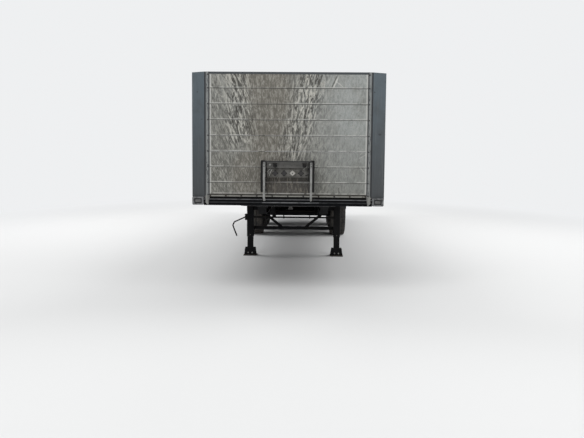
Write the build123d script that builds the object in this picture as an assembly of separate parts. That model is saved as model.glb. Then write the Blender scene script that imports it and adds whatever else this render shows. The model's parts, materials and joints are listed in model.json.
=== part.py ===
from build123d import *
import os
from math import cos, hypot, radians, sin

# Three-axle flatbed semitrailer with drop sides, in millimetres.
# The front faces -Y, +X is the trailer's left side and +Z is up.
# Stations run back from the front face of the headboard, heights up from the ground.

# Overall sizes
overall_width = 2550
bed_length = 13620
guard_reach = 170
deck_top = 1305
deck_thickness = 28
coupling_height = 1150

# Sheet and plate gauges
sheet = 6
plate = 8
flange_gauge = 12

# Running gear
axle_stations = (7990, 9300, 10610)
tyre_radius = 530
tyre_width = 385
tread_half_width = 150
tread_drop = 4
groove_places = (-105, -38, 38, 105)
groove_width = 12
groove_depth = 9
groove_slope = 2
bead_lap = 3
bead_rise = 12
belly_drop = 6
shoulder_inset = 16
shoulder_drop = 28
shoulder_round_inset = 25
shoulder_round_drop = 11
track = 2040
rim_radius = 286
rim_width = 298
rim_lip = 16
rim_lip_width = 11
rim_gauge = 10
drum_back = 130
drum_radius = 210
drum_lip = 8
disc_face = 118
disc_gauge = 15
disc_flat_radius = 204
dish_edge = 20
dish_seat = 4
dish_bow = 5
dish_back_bow = 8
dish_rise = 34
drum_shoulder = 27
hand_hole_count = 10
hand_hole_radius = 20
hand_hole_circle = 238
hub_face = 190
hub_radius = 92
hub_cap_radius = 72
hub_cone_depth = 14
hub_cone_drop = 6
hub_round_depth = 4
hub_round_drop = 10
hub_bore_depth = 20
hub_stub_radius = 60
running_gap = 0.3

# Main beams
beam_spacing = 1150
beam_flange_width = 150
beam_web = 8
beam_depth = 450
beam_start = 100
nose_end = 1000
neck_end = 3000
neck_slope_end = 3700
tail_start = 12000
tail_height = 1000

# Crossmembers
crossmember_height = 80
crossmember_width = 50
crossmember_gauge = 5
crossmember_first = 740
crossmember_pitch = 470
crossmember_tail_gap = 100
slot_clearance = 1

# Floor
deck_panel_count = 6
deck_joint = 2

# Edge of the bed, shared by the sides and the rear
board_inset = 30
pin_inset = 15
rail_inset = 37
pin_radius = 10
pin_height = 1300
board_thickness = 25
board_plank = 200
board_planks = 3
board_groove = 3
board_clearance = 5
boards_per_side = 4
hinge_shares = (0.14, 0.5, 0.86)
rear_hinge_share = 0.72
latch_inset = 22
latch_width = 44
latch_height = 420
latch_rise = 130
latch_depth = 6
latch_proud = 4
handle_width = 20
handle_margin = 45
hinge_width = 60
hinge_gap = 0.3
lug_width = 12
strap_height = 150

# Side rails
rail_height = 130
rail_lip = 48
rail_curb = 38
rail_nose_length = 900
rail_nose_rise = 60

# Headboard
plank_count = 8
plank_pitch = 205
plank_joint = 2
plank_edge = 4
plank_thickness = 30
cap_gauge = 3
cap_leg = 25
sill_height = 15
foot_strip_height = 52
foot_strip_lip = 32
foot_strip_rib = 4
post_width = 243
flange_face = 56
post_groove = 10
post_groove_depth = 8
chamfer_start = 2
chamfer_depth = 90
post_depth = 170
post_return = 60
tip_rise = 20
tip_lead = 18
tip_width = 8
tip_side = 41
stiffener_offset = 350
stiffener_width = 80
stiffener_depth = 40

# Front beam and corner lamps
front_beam_height = 98
front_beam_depth = 94
lip_lead = 7
lip_height = 20
lip_depth = 16
base_lip_height = 14
base_lip_depth = 6
box_height = 108
box_width = 152
box_rise = 14
box_inset = 13
box_round = 15
recess_width = 100
recess_height = 67
recess_depth = 12
lens_width = 72
lens_height = 34
lens_proud = 2
lens_round = 6
lamp_base = 8
lamp_clearance = 1

# Coupling guard
guard_half_width = 304
guard_tube = 28
guard_top = 1812
guard_foot = 1304
guard_bar_radius = 8
guard_bend = 60
wing_bottom = 1410
wing_width = 44
wing_rise = 8
wing_round = 14
wing_gauge = 4
panel_setback = 52
panel_step = 25
head_panel_height = 75
socket_panel_height = 121
socket_places = (-164, -47, 63, 173)
socket_flange = 58
socket_flange_gauge = 6
socket_radius = 24
socket_length = 24
socket_lid_radius = 28
socket_lid = 6
head_places = (-163, 218)
head_radius = 26
head_length = 24
head_stem_radius = 16
head_hook = 14
head_overlap = 2
head_lip = 3

# Kingpin
kingpin_station = 1600
collar_radius = 36.5
neck_radius = 25.4
foot_radius = 35.7
collar_length = 35
neck_length = 35
foot_length = 14
foot_chamfer = 4
pin_flange_radius = 90
pin_flange_gauge = 14
pin_boss_radius = 60
rubbing_start = 300
rubbing_end = 2950

# Landing legs
leg_station = 4050
leg_offset = 835
leg_housing = 130
leg_inner = 110
leg_step = 366
leg_lap = 300
leg_top = 1150
leg_round = 14
leg_plate_gauge = 10
leg_plate_spread = 90
leg_plate_low = 53
leg_plate_rise = 35
leg_plate_shoulder = 30
leg_plate_lap = 20
foot_width = 250
foot_depth = 260
foot_height = 150
foot_gauge = 14
foot_margin = 8
foot_taper = 18
stay_gauge = 10
stay_half_width = 40
stay_rise = 40
stay_reach = 900
stay_seat = 100
tie_low = 500
tie_height = 60
tie_gauge = 8
brace_low_spread = 240
brace_half_width = 40
shaft_height = 740
shaft_radius = 16
gearbox_width = 40
gearbox_half_depth = 45
gearbox_half_height = 60
gearbox_round = 20
crank_radius = 13
crank_bend = 30
crank_corners = ((1150, 640), (1180, 573), (1100, 365))

# Side pillars and rear posts
pillar_width = 110
pillar_depth = 40
board_end_gap = 6
rear_post_width = 50

# Rear end
rear_beam_depth = 83
rear_beam_height = 180
lamp_bar_height = 150
lamp_bar_depth = 60
tail_lamp_length = 395
tail_lamp_inset = 20
tail_lamp_margin = 4
tail_lamp_round = 10
bumper_height = 120
bumper_depth = 70
bumper_bottom = 450
bumper_inset = 75
bumper_round = 12
bumper_arm_width = 70
bumper_arm_depth = 120
buffer_width = 100
buffer_depth = 28
buffer_low = 8
buffer_high = 50
buffer_round = 12

# Suspension
hanger_lead = 500
hanger_front = 150
hanger_back = 90
hanger_wall = 10
pivot_height = 560
pivot_radius = 20
eye_radius = 36
arm_width = 90
arm_depth = 50
arm_tail_drop = 40
arm_tail_gauge = 24
arm_tail_reach = 110
saddle_half = 80
clamp_plate = 20
clamp_radius = 11
clamp_spread = 66
axle_radius = 63.5
axle_seat = 12
stub_reach = 19
brake_flange_radius = 185
brake_flange_gauge = 8
drum_gap = 6
bellows_radius = 140
bellows_trail = 330
bellows_neck = 34
piston_radius = 88
piston_height = 58
bag_roll = 22
damper_offset = 45
damper_radius = 34
damper_rod_radius = 27
damper_pin_radius = 24
damper_rise = 190
chamber_place = 330
chamber_radius = 78
chamber_length = 140
chamber_lead = 60
chamber_rise = 30
chamber_ring_radius = 88
chamber_ring = 18
bracket_half_width = 50
bracket_gauge = 14
camshaft_radius = 19
camshaft_trail = 98
camshaft_drop = 150
lever_gauge = 28
lever_boss = 34
lever_tip = 16

# Mudguards and air tanks
guard_clearance = 70
mudguard_gauge = 5
mudguard_half_angle = 75
mudguard_width = 400
mudguard_inset = 7
guard_stay_radius = 17
guard_stay_angle = 42
guard_stay_lap = 20
flap_trail = 150
flap_length = 520
flap_gauge = 6
flap_bar = 30
flap_bar_low = 900
tank_count = 2
tank_lead = 1200
tank_radius = 123
tank_length = 1000
tank_round = 35
tank_headroom = 52
tank_hanger_place = 380
tank_hanger_gauge = 10
tank_hanger_margin = 22

# Heights and places worked out from the sizes above
half_width = overall_width / 2
rear_reach = bed_length - pin_inset + pin_radius
middle = (rear_reach - guard_reach) / 2
deck_bottom = deck_top - deck_thickness
sill_top = deck_top + sill_height
wall_top = sill_top + plank_count * plank_pitch
panel_half_width = half_width - post_width
post_edge = panel_half_width + flange_face
rail_face = half_width - rail_inset
rail_web = rail_face - sheet
rail_bottom = deck_top - rail_height
board_face = half_width - board_inset
board_height = board_planks * board_plank
board_bottom = deck_top + board_clearance
deck_edge = rail_face - rail_curb - 2
neck_bottom = coupling_height + plate
beam_bottom = deck_bottom - beam_depth
beam_x = beam_spacing / 2
beam_edge = beam_x + beam_flange_width / 2
beam_side = beam_x + beam_web / 2
front_beam_bottom = sill_top - front_beam_height
front_beam_back = sheet + front_beam_depth
rear_edge = bed_length - rail_inset
rear_beam_front = rear_edge - rear_beam_depth
rear_half_width = board_face - rear_post_width
panel_face = -guard_reach + panel_setback
head_panel_top = guard_top - 2 * guard_bar_radius
head_panel_bottom = head_panel_top - head_panel_height
socket_panel_bottom = head_panel_bottom - socket_panel_height
box_outer = half_width - box_inset
box_inner = box_outer - box_width
box_top = sill_top + box_rise
box_bottom = box_top - box_height
wheel_centre = tyre_radius
tank_hanger_radius = tank_radius + tank_hanger_margin
tank_height = deck_bottom - crossmember_height - tank_headroom - tank_hanger_radius
arm_seat = wheel_centre + axle_radius + axle_seat
bellows_seat = arm_seat - arm_tail_drop + arm_tail_gauge
brake_flange_outer = track / 2 - drum_back - drum_gap


def at(station):
    """Y of a station."""
    return station - middle


def block(x, s, z):
    """Box between pairs of limits across, along and up."""
    centre = ((x[0] + x[1]) / 2, (at(s[0]) + at(s[1])) / 2, (z[0] + z[1]) / 2)
    return Pos(*centre) * Box(x[1] - x[0], s[1] - s[0], z[1] - z[0])


def along_x(points, x0, x1):
    """Outline of stations and heights, carried across from x0 to x1."""
    outline = make_face(Polyline(*[(at(s), z) for s, z in points], close=True))
    return extrude(Plane.YZ.offset(x0) * outline, x1 - x0)


def along_y(points, s0, s1):
    """Outline of widths and heights, carried back from s0 to s1."""
    outline = make_face(Polyline(*points, close=True))
    return extrude(Plane.XZ.offset(-at(s0)) * outline, s1 - s0, dir=(0, 1, 0))


def along_z(points, z0, z1):
    """Outline of widths and stations, carried up from z0 to z1."""
    outline = make_face(Polyline(*[(x, at(s)) for x, s in points], close=True))
    return extrude(Plane.XY.offset(z0) * outline, z1 - z0)


def folded(bends, gauge):
    """Outline of a plate bent through these points, its gauge on the left of the way along them."""
    sides = []
    for (u0, v0), (u1, v1) in zip(bends, bends[1:]):
        length = hypot(u1 - u0, v1 - v0)
        sides.append((-(v1 - v0) / length, (u1 - u0) / length))
    inner = []
    for number, (u, v) in enumerate(bends):
        before = sides[max(number - 1, 0)]
        after = sides[min(number, len(sides) - 1)]
        share = gauge / (1 + before[0] * after[0] + before[1] * after[1])
        inner.append((u + share * (before[0] + after[0]), v + share * (before[1] + after[1])))
    return list(bends) + inner[::-1]


def bar_x(radius, x0, x1, station, height):
    """Round bar across the trailer."""
    return Pos((x0 + x1) / 2, at(station), height) * Rot(0, 90, 0) * Cylinder(radius, abs(x1 - x0))


def rod(start, end, radius):
    """Round rod between two points given as width, station and height."""
    a = Vector(start[0], at(start[1]), start[2])
    b = Vector(end[0], at(end[1]), end[2])
    return extrude(Plane(origin=a, z_dir=b - a) * Circle(radius), (b - a).length)


def pair(shape):
    """A left-hand piece and its mirror image."""
    return [shape, mirror(shape, about=Plane.YZ)]


def pairs(shapes):
    """Left-hand pieces and their mirror images."""
    return [piece for shape in shapes for piece in pair(shape)]


# Crossmember stations, from the neck to the tail
crossmember_span = rear_beam_front - crossmember_tail_gap - crossmember_width - crossmember_first
crossmember_stations = [
    crossmember_first + number * crossmember_pitch
    for number in range(int(crossmember_span // crossmember_pitch) + 1)
]


def main_beams():
    """Two welded I-beams with a low neck, slotted for the crossmembers."""
    underside = [
        (beam_start, front_beam_bottom),
        (nose_end, neck_bottom),
        (neck_end, neck_bottom),
        (neck_slope_end, beam_bottom),
        (tail_start, beam_bottom),
        (rear_beam_front, tail_height),
    ]
    bottom_flange = along_x(folded(underside, flange_gauge), beam_x - beam_flange_width / 2, beam_edge)
    web_outline = underside + [(rear_beam_front, deck_bottom), (beam_start, deck_bottom)]
    web = along_x(web_outline, beam_x - beam_web / 2, beam_side)
    top_flange = block(
        (beam_x - beam_flange_width / 2, beam_edge),
        (beam_start, rear_beam_front),
        (deck_bottom - flange_gauge, deck_bottom),
    )
    beam = web + bottom_flange + top_flange
    slots = [
        block(
            (beam_x - beam_web, beam_x + beam_web),
            (station - slot_clearance, station + crossmember_width + slot_clearance),
            (deck_bottom - crossmember_height - slot_clearance, deck_bottom - flange_gauge),
        )
        for station in crossmember_stations
    ]
    return pair(beam - slots)


def crossmembers():
    """Channels through the beam webs, notched round the top flanges."""
    pieces = []
    for station in crossmember_stations:
        back = station + crossmember_width
        bottom = deck_bottom - crossmember_height
        channel = folded(
            [(back, deck_bottom), (station, deck_bottom), (station, bottom), (back, bottom)],
            crossmember_gauge,
        )
        member = along_x(channel, -rail_web, rail_web)
        notch = block(
            (beam_x - beam_flange_width / 2 - slot_clearance, beam_edge + slot_clearance),
            (station - slot_clearance, back + slot_clearance),
            (deck_bottom - flange_gauge, deck_bottom + slot_clearance),
        )
        pieces.append(member - pair(notch))
    return pieces


# Bed divisions: boards of one length between pillars
board_zone_start = post_depth
board_zone_end = rear_beam_front
board_length = (
    board_zone_end - board_zone_start - (boards_per_side - 1) * pillar_width
) / boards_per_side - 2 * board_end_gap
board_step = board_length + 2 * board_end_gap + pillar_width
board_starts = [
    board_zone_start + board_end_gap + number * board_step for number in range(boards_per_side)
]
pillar_starts = [start + board_length + board_end_gap for start in board_starts[:-1]]


def hinge_lugs(face, pin_from_edge, centres, extrude_along):
    """Pairs of lugs on a rail face, each side of a hinge barrel."""
    lugs = []
    for centre in centres:
        for side in (-1, 1):
            near = centre + side * (hinge_width / 2 + hinge_gap)
            far = near + side * lug_width
            lugs.append(extrude_along(face, pin_from_edge, min(near, far), max(near, far)))
    return lugs


def lug_on_side(face, pin, s0, s1):
    """One lug on a side rail: a plate with a round end at the pin."""
    body = block((face, pin), (s0, s1), (pin_height - 2 * pin_radius, pin_height))
    tip = Pos(pin, (at(s0) + at(s1)) / 2, pin_height) * Rot(90, 0, 0) * Cylinder(pin_radius, s1 - s0)
    return body + tip


def lug_on_rear(face, pin, x0, x1):
    """One lug on the rear beam."""
    body = block((x0, x1), (face, pin), (pin_height - 2 * pin_radius, pin_height))
    return body + bar_x(pin_radius, x0, x1, pin, pin_height)


def side_rails():
    """Folded edge rails with a curb on top and the hinge lugs of the side boards."""
    bends = [
        (rail_face - rail_lip, rail_bottom),
        (rail_face, rail_bottom),
        (rail_face, deck_top),
        (rail_face - rail_curb, deck_top),
        (rail_face - rail_curb, deck_bottom),
    ]
    rail = along_y(folded(bends, sheet), front_beam_back, rear_beam_front)
    nose = [
        (front_beam_back, rail_bottom),
        (front_beam_back + rail_nose_length, rail_bottom),
        (front_beam_back, rail_bottom + rail_nose_rise),
    ]
    rail -= along_x(nose, 0, half_width)
    centres = [start + share * board_length for start in board_starts for share in hinge_shares]
    rail += hinge_lugs(rail_face, half_width - pin_inset, centres, lug_on_side)
    return pair(rail)


def board_section(face, thickness, bottom):
    """Upright board outline: hollow planks show as shallow grooves on both faces."""
    outer = [(face, bottom)]
    for number in range(1, board_planks):
        joint = bottom + number * board_plank
        outer += [(face, joint - board_groove), (face - board_groove, joint), (face, joint + board_groove)]
    outer.append((face, bottom + board_height))
    inner = [(2 * face - thickness - u, v) for u, v in outer]
    return outer + inner[::-1]


def hinge_strap(face, pin):
    """Outline of a strap from the pin up the board's outer face."""
    return [
        (face, board_bottom),
        (pin, pin_height - pin_radius / 2),
        (pin, board_bottom + pin_radius / 2),
        (face + sheet, board_bottom + 2 * pin_radius),
        (face + sheet, board_bottom + strap_height),
        (face, board_bottom + strap_height),
    ]


def side_board(start):
    """One drop side with its three strap hinges and a latch let into each end."""
    board = along_y(board_section(board_face, board_thickness, board_bottom), start, start + board_length)
    pin = half_width - pin_inset
    low = board_bottom + latch_rise
    high = low + latch_height
    latch_centre = latch_inset + latch_width / 2
    for centre in (start + latch_centre, start + board_length - latch_centre):
        board -= block(
            (board_face - latch_depth, board_face + 1),
            (centre - latch_width / 2, centre + latch_width / 2),
            (low, high),
        )
        board += block(
            (board_face - latch_depth, board_face + latch_proud),
            (centre - handle_width / 2, centre + handle_width / 2),
            (low + handle_margin, high - handle_margin),
        )
    for share in hinge_shares:
        centre = start + share * board_length
        s0 = centre - hinge_width / 2
        s1 = centre + hinge_width / 2
        board += along_y(hinge_strap(board_face, pin), s0, s1)
        board += Pos(pin, at(centre), pin_height) * Rot(90, 0, 0) * Cylinder(pin_radius, hinge_width)
    return board


rear_board_half = rear_half_width - board_end_gap
rear_hinges = [side * rear_hinge_share * rear_board_half for side in (-1, 0, 1)]


def rear_board():
    """Drop board at the rear with its strap hinges."""
    face = bed_length - board_inset
    pin = bed_length - pin_inset
    board = along_x(
        board_section(face, board_thickness, board_bottom), -rear_board_half, rear_board_half
    )
    for centre in rear_hinges:
        x0 = centre - hinge_width / 2
        x1 = centre + hinge_width / 2
        board += along_x(hinge_strap(face, pin), x0, x1)
        board += bar_x(pin_radius, x0, x1, pin, pin_height)
    return board


def side_pillars():
    """Lift-out pillars between the side boards, each in a pocket on the rail."""
    outline = [
        (rail_face, rail_bottom),
        (rail_face + flange_gauge, rail_bottom),
        (rail_face + flange_gauge, deck_top),
        (board_face, deck_top + flange_gauge),
        (board_face, board_bottom + board_height),
        (board_face - pillar_depth, board_bottom + board_height),
        (board_face - pillar_depth, deck_top),
        (rail_face, deck_top),
    ]
    return pairs([along_y(outline, start, start + pillar_width) for start in pillar_starts])


def rear_posts():
    """Fixed corner posts at the rear."""
    post = block(
        (rear_half_width, board_face),
        (rear_beam_front, bed_length - board_inset),
        (deck_top - rear_beam_height, board_bottom + board_height),
    )
    return pair(post)


def rear_beam():
    """Hollow cross beam at the tail with the rear board's hinge lugs."""
    half = rear_half_width
    bottom = deck_top - rear_beam_height
    beam = block((-half, half), (rear_beam_front, rear_edge), (bottom, deck_top))
    hollow = block(
        (-half, half), (rear_beam_front + sheet, rear_edge - sheet), (bottom + sheet, deck_top - sheet)
    )
    return beam - hollow + hinge_lugs(rear_edge, bed_length - pin_inset, rear_hinges, lug_on_rear)


def deck():
    """Plywood floor panels."""
    start = front_beam_back + deck_joint / 2
    pitch = (rear_beam_front - front_beam_back) / deck_panel_count
    return [
        block(
            (-deck_edge, deck_edge),
            (start + number * pitch, start + (number + 1) * pitch - deck_joint),
            (deck_bottom, deck_top),
        )
        for number in range(deck_panel_count)
    ]


def wall_planks():
    """Aluminium planks of the headboard, with chamfered edges at each joint."""
    edge = plank_edge
    front = sheet
    back = sheet + plank_thickness
    half = post_edge - sheet - plank_joint
    planks = []
    for number in range(plank_count):
        low = sill_top + number * plank_pitch
        high = low + plank_pitch - plank_joint
        outline = [
            (front + edge, low),
            (front, low + edge),
            (front, high - edge),
            (front + edge, high),
            (back, high),
            (back, low),
        ]
        planks.append(along_x(outline, -half, half))
    return planks


def wall_stiffeners():
    """Upright channels behind the planks, standing on the sill."""
    back = sheet + plank_thickness
    half = stiffener_width / 2
    outline = folded(
        [
            (stiffener_offset - half, back),
            (stiffener_offset - half, back + stiffener_depth),
            (stiffener_offset + half, back + stiffener_depth),
            (stiffener_offset + half, back),
        ],
        -sheet,
    )
    return pair(along_z(outline, sill_top, wall_top - cap_leg))


def wall_cap():
    """Channel over the top plank."""
    front = sheet - cap_gauge
    back = sheet + plank_thickness + cap_gauge
    bends = [
        (front, wall_top - cap_leg),
        (front, wall_top + cap_gauge),
        (back, wall_top + cap_gauge),
        (back, wall_top - cap_leg),
    ]
    return along_x(folded(bends, -cap_gauge), -panel_half_width, panel_half_width)


def wall_foot():
    """Strip along the bottom plank, with a proud top lip."""
    top = sill_top + foot_strip_height
    outline = [
        (sheet, top),
        (-sheet, top),
        (-sheet, top - foot_strip_lip),
        (sheet - foot_strip_rib, top - foot_strip_lip),
        (sheet - foot_strip_rib, sill_top),
        (sheet, sill_top),
    ]
    return along_x(outline, -panel_half_width, panel_half_width)


def front_posts():
    """Pressed corner posts: inner flange, groove, wide chamfer, side and return."""
    groove_edge = post_edge + post_groove
    bends = [
        (panel_half_width, 0),
        (post_edge, 0),
        (post_edge, post_groove_depth),
        (groove_edge, post_groove_depth),
        (groove_edge, chamfer_start),
        (half_width, chamfer_depth),
        (half_width, post_depth),
        (half_width - post_return, post_depth),
    ]
    post = along_z(folded(bends, sheet), deck_top, wall_top + cap_gauge)
    post -= block((0, overall_width), (-1, front_beam_back), (deck_top, box_top))
    crown = bends + [(panel_half_width, sheet + plank_thickness + cap_gauge)]
    post += along_z(crown, wall_top - plank_joint, wall_top + cap_gauge)
    tip = [
        (panel_half_width, sill_top + tip_rise),
        (panel_half_width + tip_lead, front_beam_bottom),
        (panel_half_width + tip_lead + tip_width, front_beam_bottom),
        (post_edge, front_beam_bottom + tip_side),
        (post_edge, sill_top + tip_rise),
    ]
    post += along_y(tip, 0, sheet)
    return pair(post)


def corner_boxes():
    """Rounded lamp housings at the feet of the corner posts."""
    box = block((box_inner, box_outer), (0, front_beam_back), (box_bottom, box_top))
    box = fillet(box.edges().filter_by(Axis.Y), box_round)
    centre = (box_bottom + box_top) / 2
    middle_x = box_inner + box_width / 2
    recess = block(
        (middle_x - recess_width / 2, middle_x + recess_width / 2),
        (-1, recess_depth),
        (centre - recess_height / 2, centre + recess_height / 2),
    )
    return pair(box - recess)


def front_lamps():
    """Marker lamps: a base in the recess with a raised lens."""
    centre = (box_bottom + box_top) / 2
    middle_x = box_inner + box_width / 2
    half_base = recess_width / 2 - lamp_clearance
    half_base_height = recess_height / 2 - lamp_clearance
    base = block(
        (middle_x - half_base, middle_x + half_base),
        (recess_depth - lamp_base, recess_depth),
        (centre - half_base_height, centre + half_base_height),
    )
    lens = block(
        (middle_x - lens_width / 2, middle_x + lens_width / 2),
        (-lens_proud, recess_depth - lamp_base),
        (centre - lens_height / 2, centre + lens_height / 2),
    )
    return pair(base + fillet(lens.edges().filter_by(Axis.Y), lens_round))


def front_beam():
    """Roll-formed front beam with two proud lips, hollow inside."""
    front = sheet
    groove = front + lip_depth
    top = sill_top
    lip = top - lip_lead
    base = groove - base_lip_depth
    outline = [
        (groove, top),
        (groove, lip),
        (front, lip),
        (front, lip - lip_height),
        (groove, lip - lip_height),
        (groove, lip - 2 * lip_height),
        (front, lip - 2 * lip_height),
        (front, lip - 3 * lip_height),
        (groove, lip - 3 * lip_height),
        (groove, front_beam_bottom + base_lip_height),
        (base, front_beam_bottom + base_lip_height),
        (base, front_beam_bottom),
        (front_beam_back, front_beam_bottom),
        (front_beam_back, top),
    ]
    beam = along_x(outline, -box_inner, box_inner)
    hollow = block(
        (-box_inner, box_inner),
        (groove + sheet, front_beam_back - sheet),
        (front_beam_bottom + sheet, top - sheet),
    )
    return beam - hollow


def coupling_guard():
    """Tube posts and side wings that carry the plates for the couplings, in front of the wall."""
    tube_centre = -guard_reach + guard_tube / 2
    path = FilletPolyline(
        (guard_half_width, at(sheet), guard_foot),
        (guard_half_width, at(tube_centre), guard_foot),
        (guard_half_width, at(tube_centre), guard_top - guard_tube),
        radius=guard_bend,
    )
    profile = Plane(origin=path @ 0, z_dir=path % 0) * Circle(guard_tube / 2)
    tube = sweep(profile, path=path)
    wing_front = tube_centre + guard_tube / 4
    wing = folded(
        [
            (guard_half_width + wing_width, wing_front),
            (guard_half_width, wing_front),
            (guard_half_width, 0),
            (guard_half_width + wing_width, 0),
        ],
        wing_gauge,
    )
    side = along_z(wing, wing_bottom, guard_top + wing_rise)
    corners = side.edges().filter_by(Axis.Y).group_by(Axis.Z)[-1].group_by(Axis.X)[-1]
    side = fillet(corners, wing_round)
    head_panel = block(
        (-guard_half_width, guard_half_width),
        (panel_face, panel_face + wing_gauge),
        (head_panel_bottom, head_panel_top),
    )
    socket_panel = block(
        (-guard_half_width, guard_half_width),
        (panel_face + panel_step, panel_face + panel_step + wing_gauge),
        (socket_panel_bottom, head_panel_bottom),
    )
    step = block(
        (-guard_half_width, guard_half_width),
        (panel_face, panel_face + panel_step + wing_gauge),
        (head_panel_bottom, head_panel_bottom + wing_gauge),
    )
    bar_height = guard_top - guard_bar_radius
    top_bar = bar_x(guard_bar_radius, -guard_half_width, guard_half_width, tube_centre, bar_height)
    knees = pair(
        Pos(guard_half_width, at(tube_centre), guard_top - guard_tube / 2) * Sphere(guard_tube / 2)
    )
    drops = pair(
        Pos(guard_half_width, at(tube_centre), guard_top - guard_tube * 0.75)
        * Cylinder(guard_tube / 2, guard_tube / 2)
    )
    frame = head_panel + socket_panel + step + top_bar
    for piece in pair(tube) + pair(side) + knees + drops:
        frame += piece
    return frame


def coupling_heads():
    """Air coupling heads on the head panel, each a round head with a hooked lip."""
    heads = []
    height = head_panel_bottom + head_panel_height / 2
    head_back = panel_face - head_length + head_overlap
    head_face = head_back - head_length
    reach = head_radius + head_lip
    for place in head_places:
        stem = Pos(place, at(panel_face) - head_length / 2, height) * Rot(90, 0, 0)
        head = Pos(place, at(head_face) + head_length / 2, height - head_hook / 2) * Rot(90, 0, 0)
        hook = block(
            (place - reach, place + reach),
            (head_face, head_back - head_overlap),
            (height + head_hook - 1, height + 2 * head_hook - 1),
        )
        heads.append(
            stem * Cylinder(head_stem_radius, head_length) + head * Cylinder(head_radius, head_length) + hook
        )
    return heads


def sockets():
    """Electrical sockets with square flanges set corner down, and hinged lids shut."""
    height = socket_panel_bottom + socket_panel_height / 2 - head_hook / 2
    body_face = panel_face + panel_step - socket_flange_gauge
    lid_face = body_face - socket_length
    pieces = []
    for place in socket_places:
        flange = Pos(place, at(body_face) + socket_flange_gauge / 2, height) * Rot(0, 45, 0)
        body = Pos(place, at(body_face) - socket_length / 2, height) * Rot(90, 0, 0)
        lid = Pos(place, at(lid_face) - socket_lid / 2, height) * Rot(90, 0, 0)
        pieces.append(
            flange * Box(socket_flange, socket_flange_gauge, socket_flange)
            + body * Cylinder(socket_radius, socket_length)
            + lid * Cylinder(socket_lid_radius, socket_lid)
        )
    return pieces


def rubbing_plate():
    """Coupling plate under the neck, with its front edge sloping up."""
    slope = (front_beam_bottom - neck_bottom) / (nose_end - beam_start)
    front_height = front_beam_bottom - slope * (rubbing_start - beam_start)
    bends = [
        (rubbing_start, front_height),
        (nose_end, neck_bottom),
        (rubbing_end, neck_bottom),
    ]
    sheet_plate = along_x(folded(bends, -plate), -beam_edge, beam_edge)
    hole = Pos(0, at(kingpin_station), coupling_height) * Cylinder(pin_boss_radius + running_gap, 4 * plate)
    return sheet_plate - hole


def kingpin():
    """Coupling pin: flange over the plate, boss through it, then collar, neck and foot."""
    top = neck_bottom + pin_flange_gauge
    collar_end = coupling_height - collar_length
    neck_end_height = collar_end - neck_length
    foot_end = neck_end_height - foot_length
    profile = Polyline(
        (0, top),
        (pin_flange_radius, top),
        (pin_flange_radius, neck_bottom),
        (pin_boss_radius, neck_bottom),
        (pin_boss_radius, coupling_height),
        (collar_radius, coupling_height),
        (collar_radius, collar_end),
        (neck_radius, collar_end),
        (neck_radius, neck_end_height),
        (foot_radius, neck_end_height),
        (foot_radius, foot_end + foot_chamfer),
        (foot_radius - foot_chamfer, foot_end),
        (0, foot_end),
        close=True,
    )
    face = Plane.XZ * make_face(profile)
    return Pos(0, at(kingpin_station), 0) * revolve(face, Axis.Z)


def leg_housings():
    """Upper tubes of the landing legs, closed by a cap, each on two plates from the beam web."""
    half = leg_housing / 2
    bore_half = leg_inner / 2 + running_gap
    tube = block(
        (leg_offset - half, leg_offset + half),
        (leg_station - half, leg_station + half),
        (leg_step, leg_top),
    )
    tube = fillet(tube.edges().filter_by(Axis.Z), leg_round)
    bore = block(
        (leg_offset - bore_half, leg_offset + bore_half),
        (leg_station - bore_half, leg_station + bore_half),
        (leg_step - 1, leg_step + leg_lap),
    )
    housing = tube - bore
    reach = leg_offset - half + leg_plate_lap
    low = beam_bottom + leg_plate_low
    outline = [
        (beam_side, low),
        (beam_side, leg_top + leg_plate_rise),
        (reach, leg_top - leg_plate_shoulder),
        (reach, low),
    ]
    first = leg_station - (leg_plate_spread + leg_plate_gauge) / 2
    for start in (first, first + leg_plate_spread):
        housing += along_y(outline, start, start + leg_plate_gauge)
    return pair(housing)


def leg_feet():
    """Inner tubes of the legs with their folded feet."""
    half = leg_inner / 2
    foot_half = foot_width / 2
    tube = block(
        (leg_offset - half, leg_offset + half),
        (leg_station - half, leg_station + half),
        (foot_gauge, leg_step + leg_lap),
    )
    pad = block(
        (leg_offset - foot_half, leg_offset + foot_half),
        (leg_station - foot_depth / 2, leg_station + foot_depth / 2),
        (0, foot_gauge),
    )
    base = foot_half - foot_margin
    cheek = [
        (leg_offset - base, foot_gauge),
        (leg_offset + base, foot_gauge),
        (leg_offset + base - foot_taper, foot_height),
        (leg_offset - base + foot_taper, foot_height),
    ]
    foot = tube + pad
    for start in (leg_station - half - plate, leg_station + half):
        foot += along_y(cheek, start, start + plate)
    return pair(foot)


def leg_stays():
    """Flat stays: one back to each beam, and a cross tie with a V between the legs."""
    inner = leg_offset - leg_housing / 2
    foot = leg_step + stay_rise
    seat = beam_bottom + flange_gauge
    end = leg_station + stay_reach
    outline = [
        (leg_station - stay_half_width, foot),
        (leg_station + stay_half_width, foot),
        (end, beam_bottom),
        (end, seat),
        (end - stay_seat, seat),
        (leg_station - stay_half_width, foot + 2 * stay_half_width),
    ]
    stay = along_x(outline, inner - stay_gauge, inner)
    stay += block((beam_edge, inner), (end - stay_seat, end), (beam_bottom, seat))
    back = leg_station + leg_housing / 2
    tie = block((-leg_offset, leg_offset), (back, back + tie_gauge), (tie_low, tie_low + tie_height))
    brace = [
        (brace_low_spread - brace_half_width, tie_low + tie_height - stay_gauge),
        (brace_low_spread + brace_half_width, tie_low + tie_height - stay_gauge),
        (beam_x + brace_half_width, beam_bottom),
        (beam_x - brace_half_width, beam_bottom),
    ]
    for piece in pair(along_y(brace, back, back + tie_gauge)):
        tie += piece
    return pair(stay) + [tie]


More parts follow.
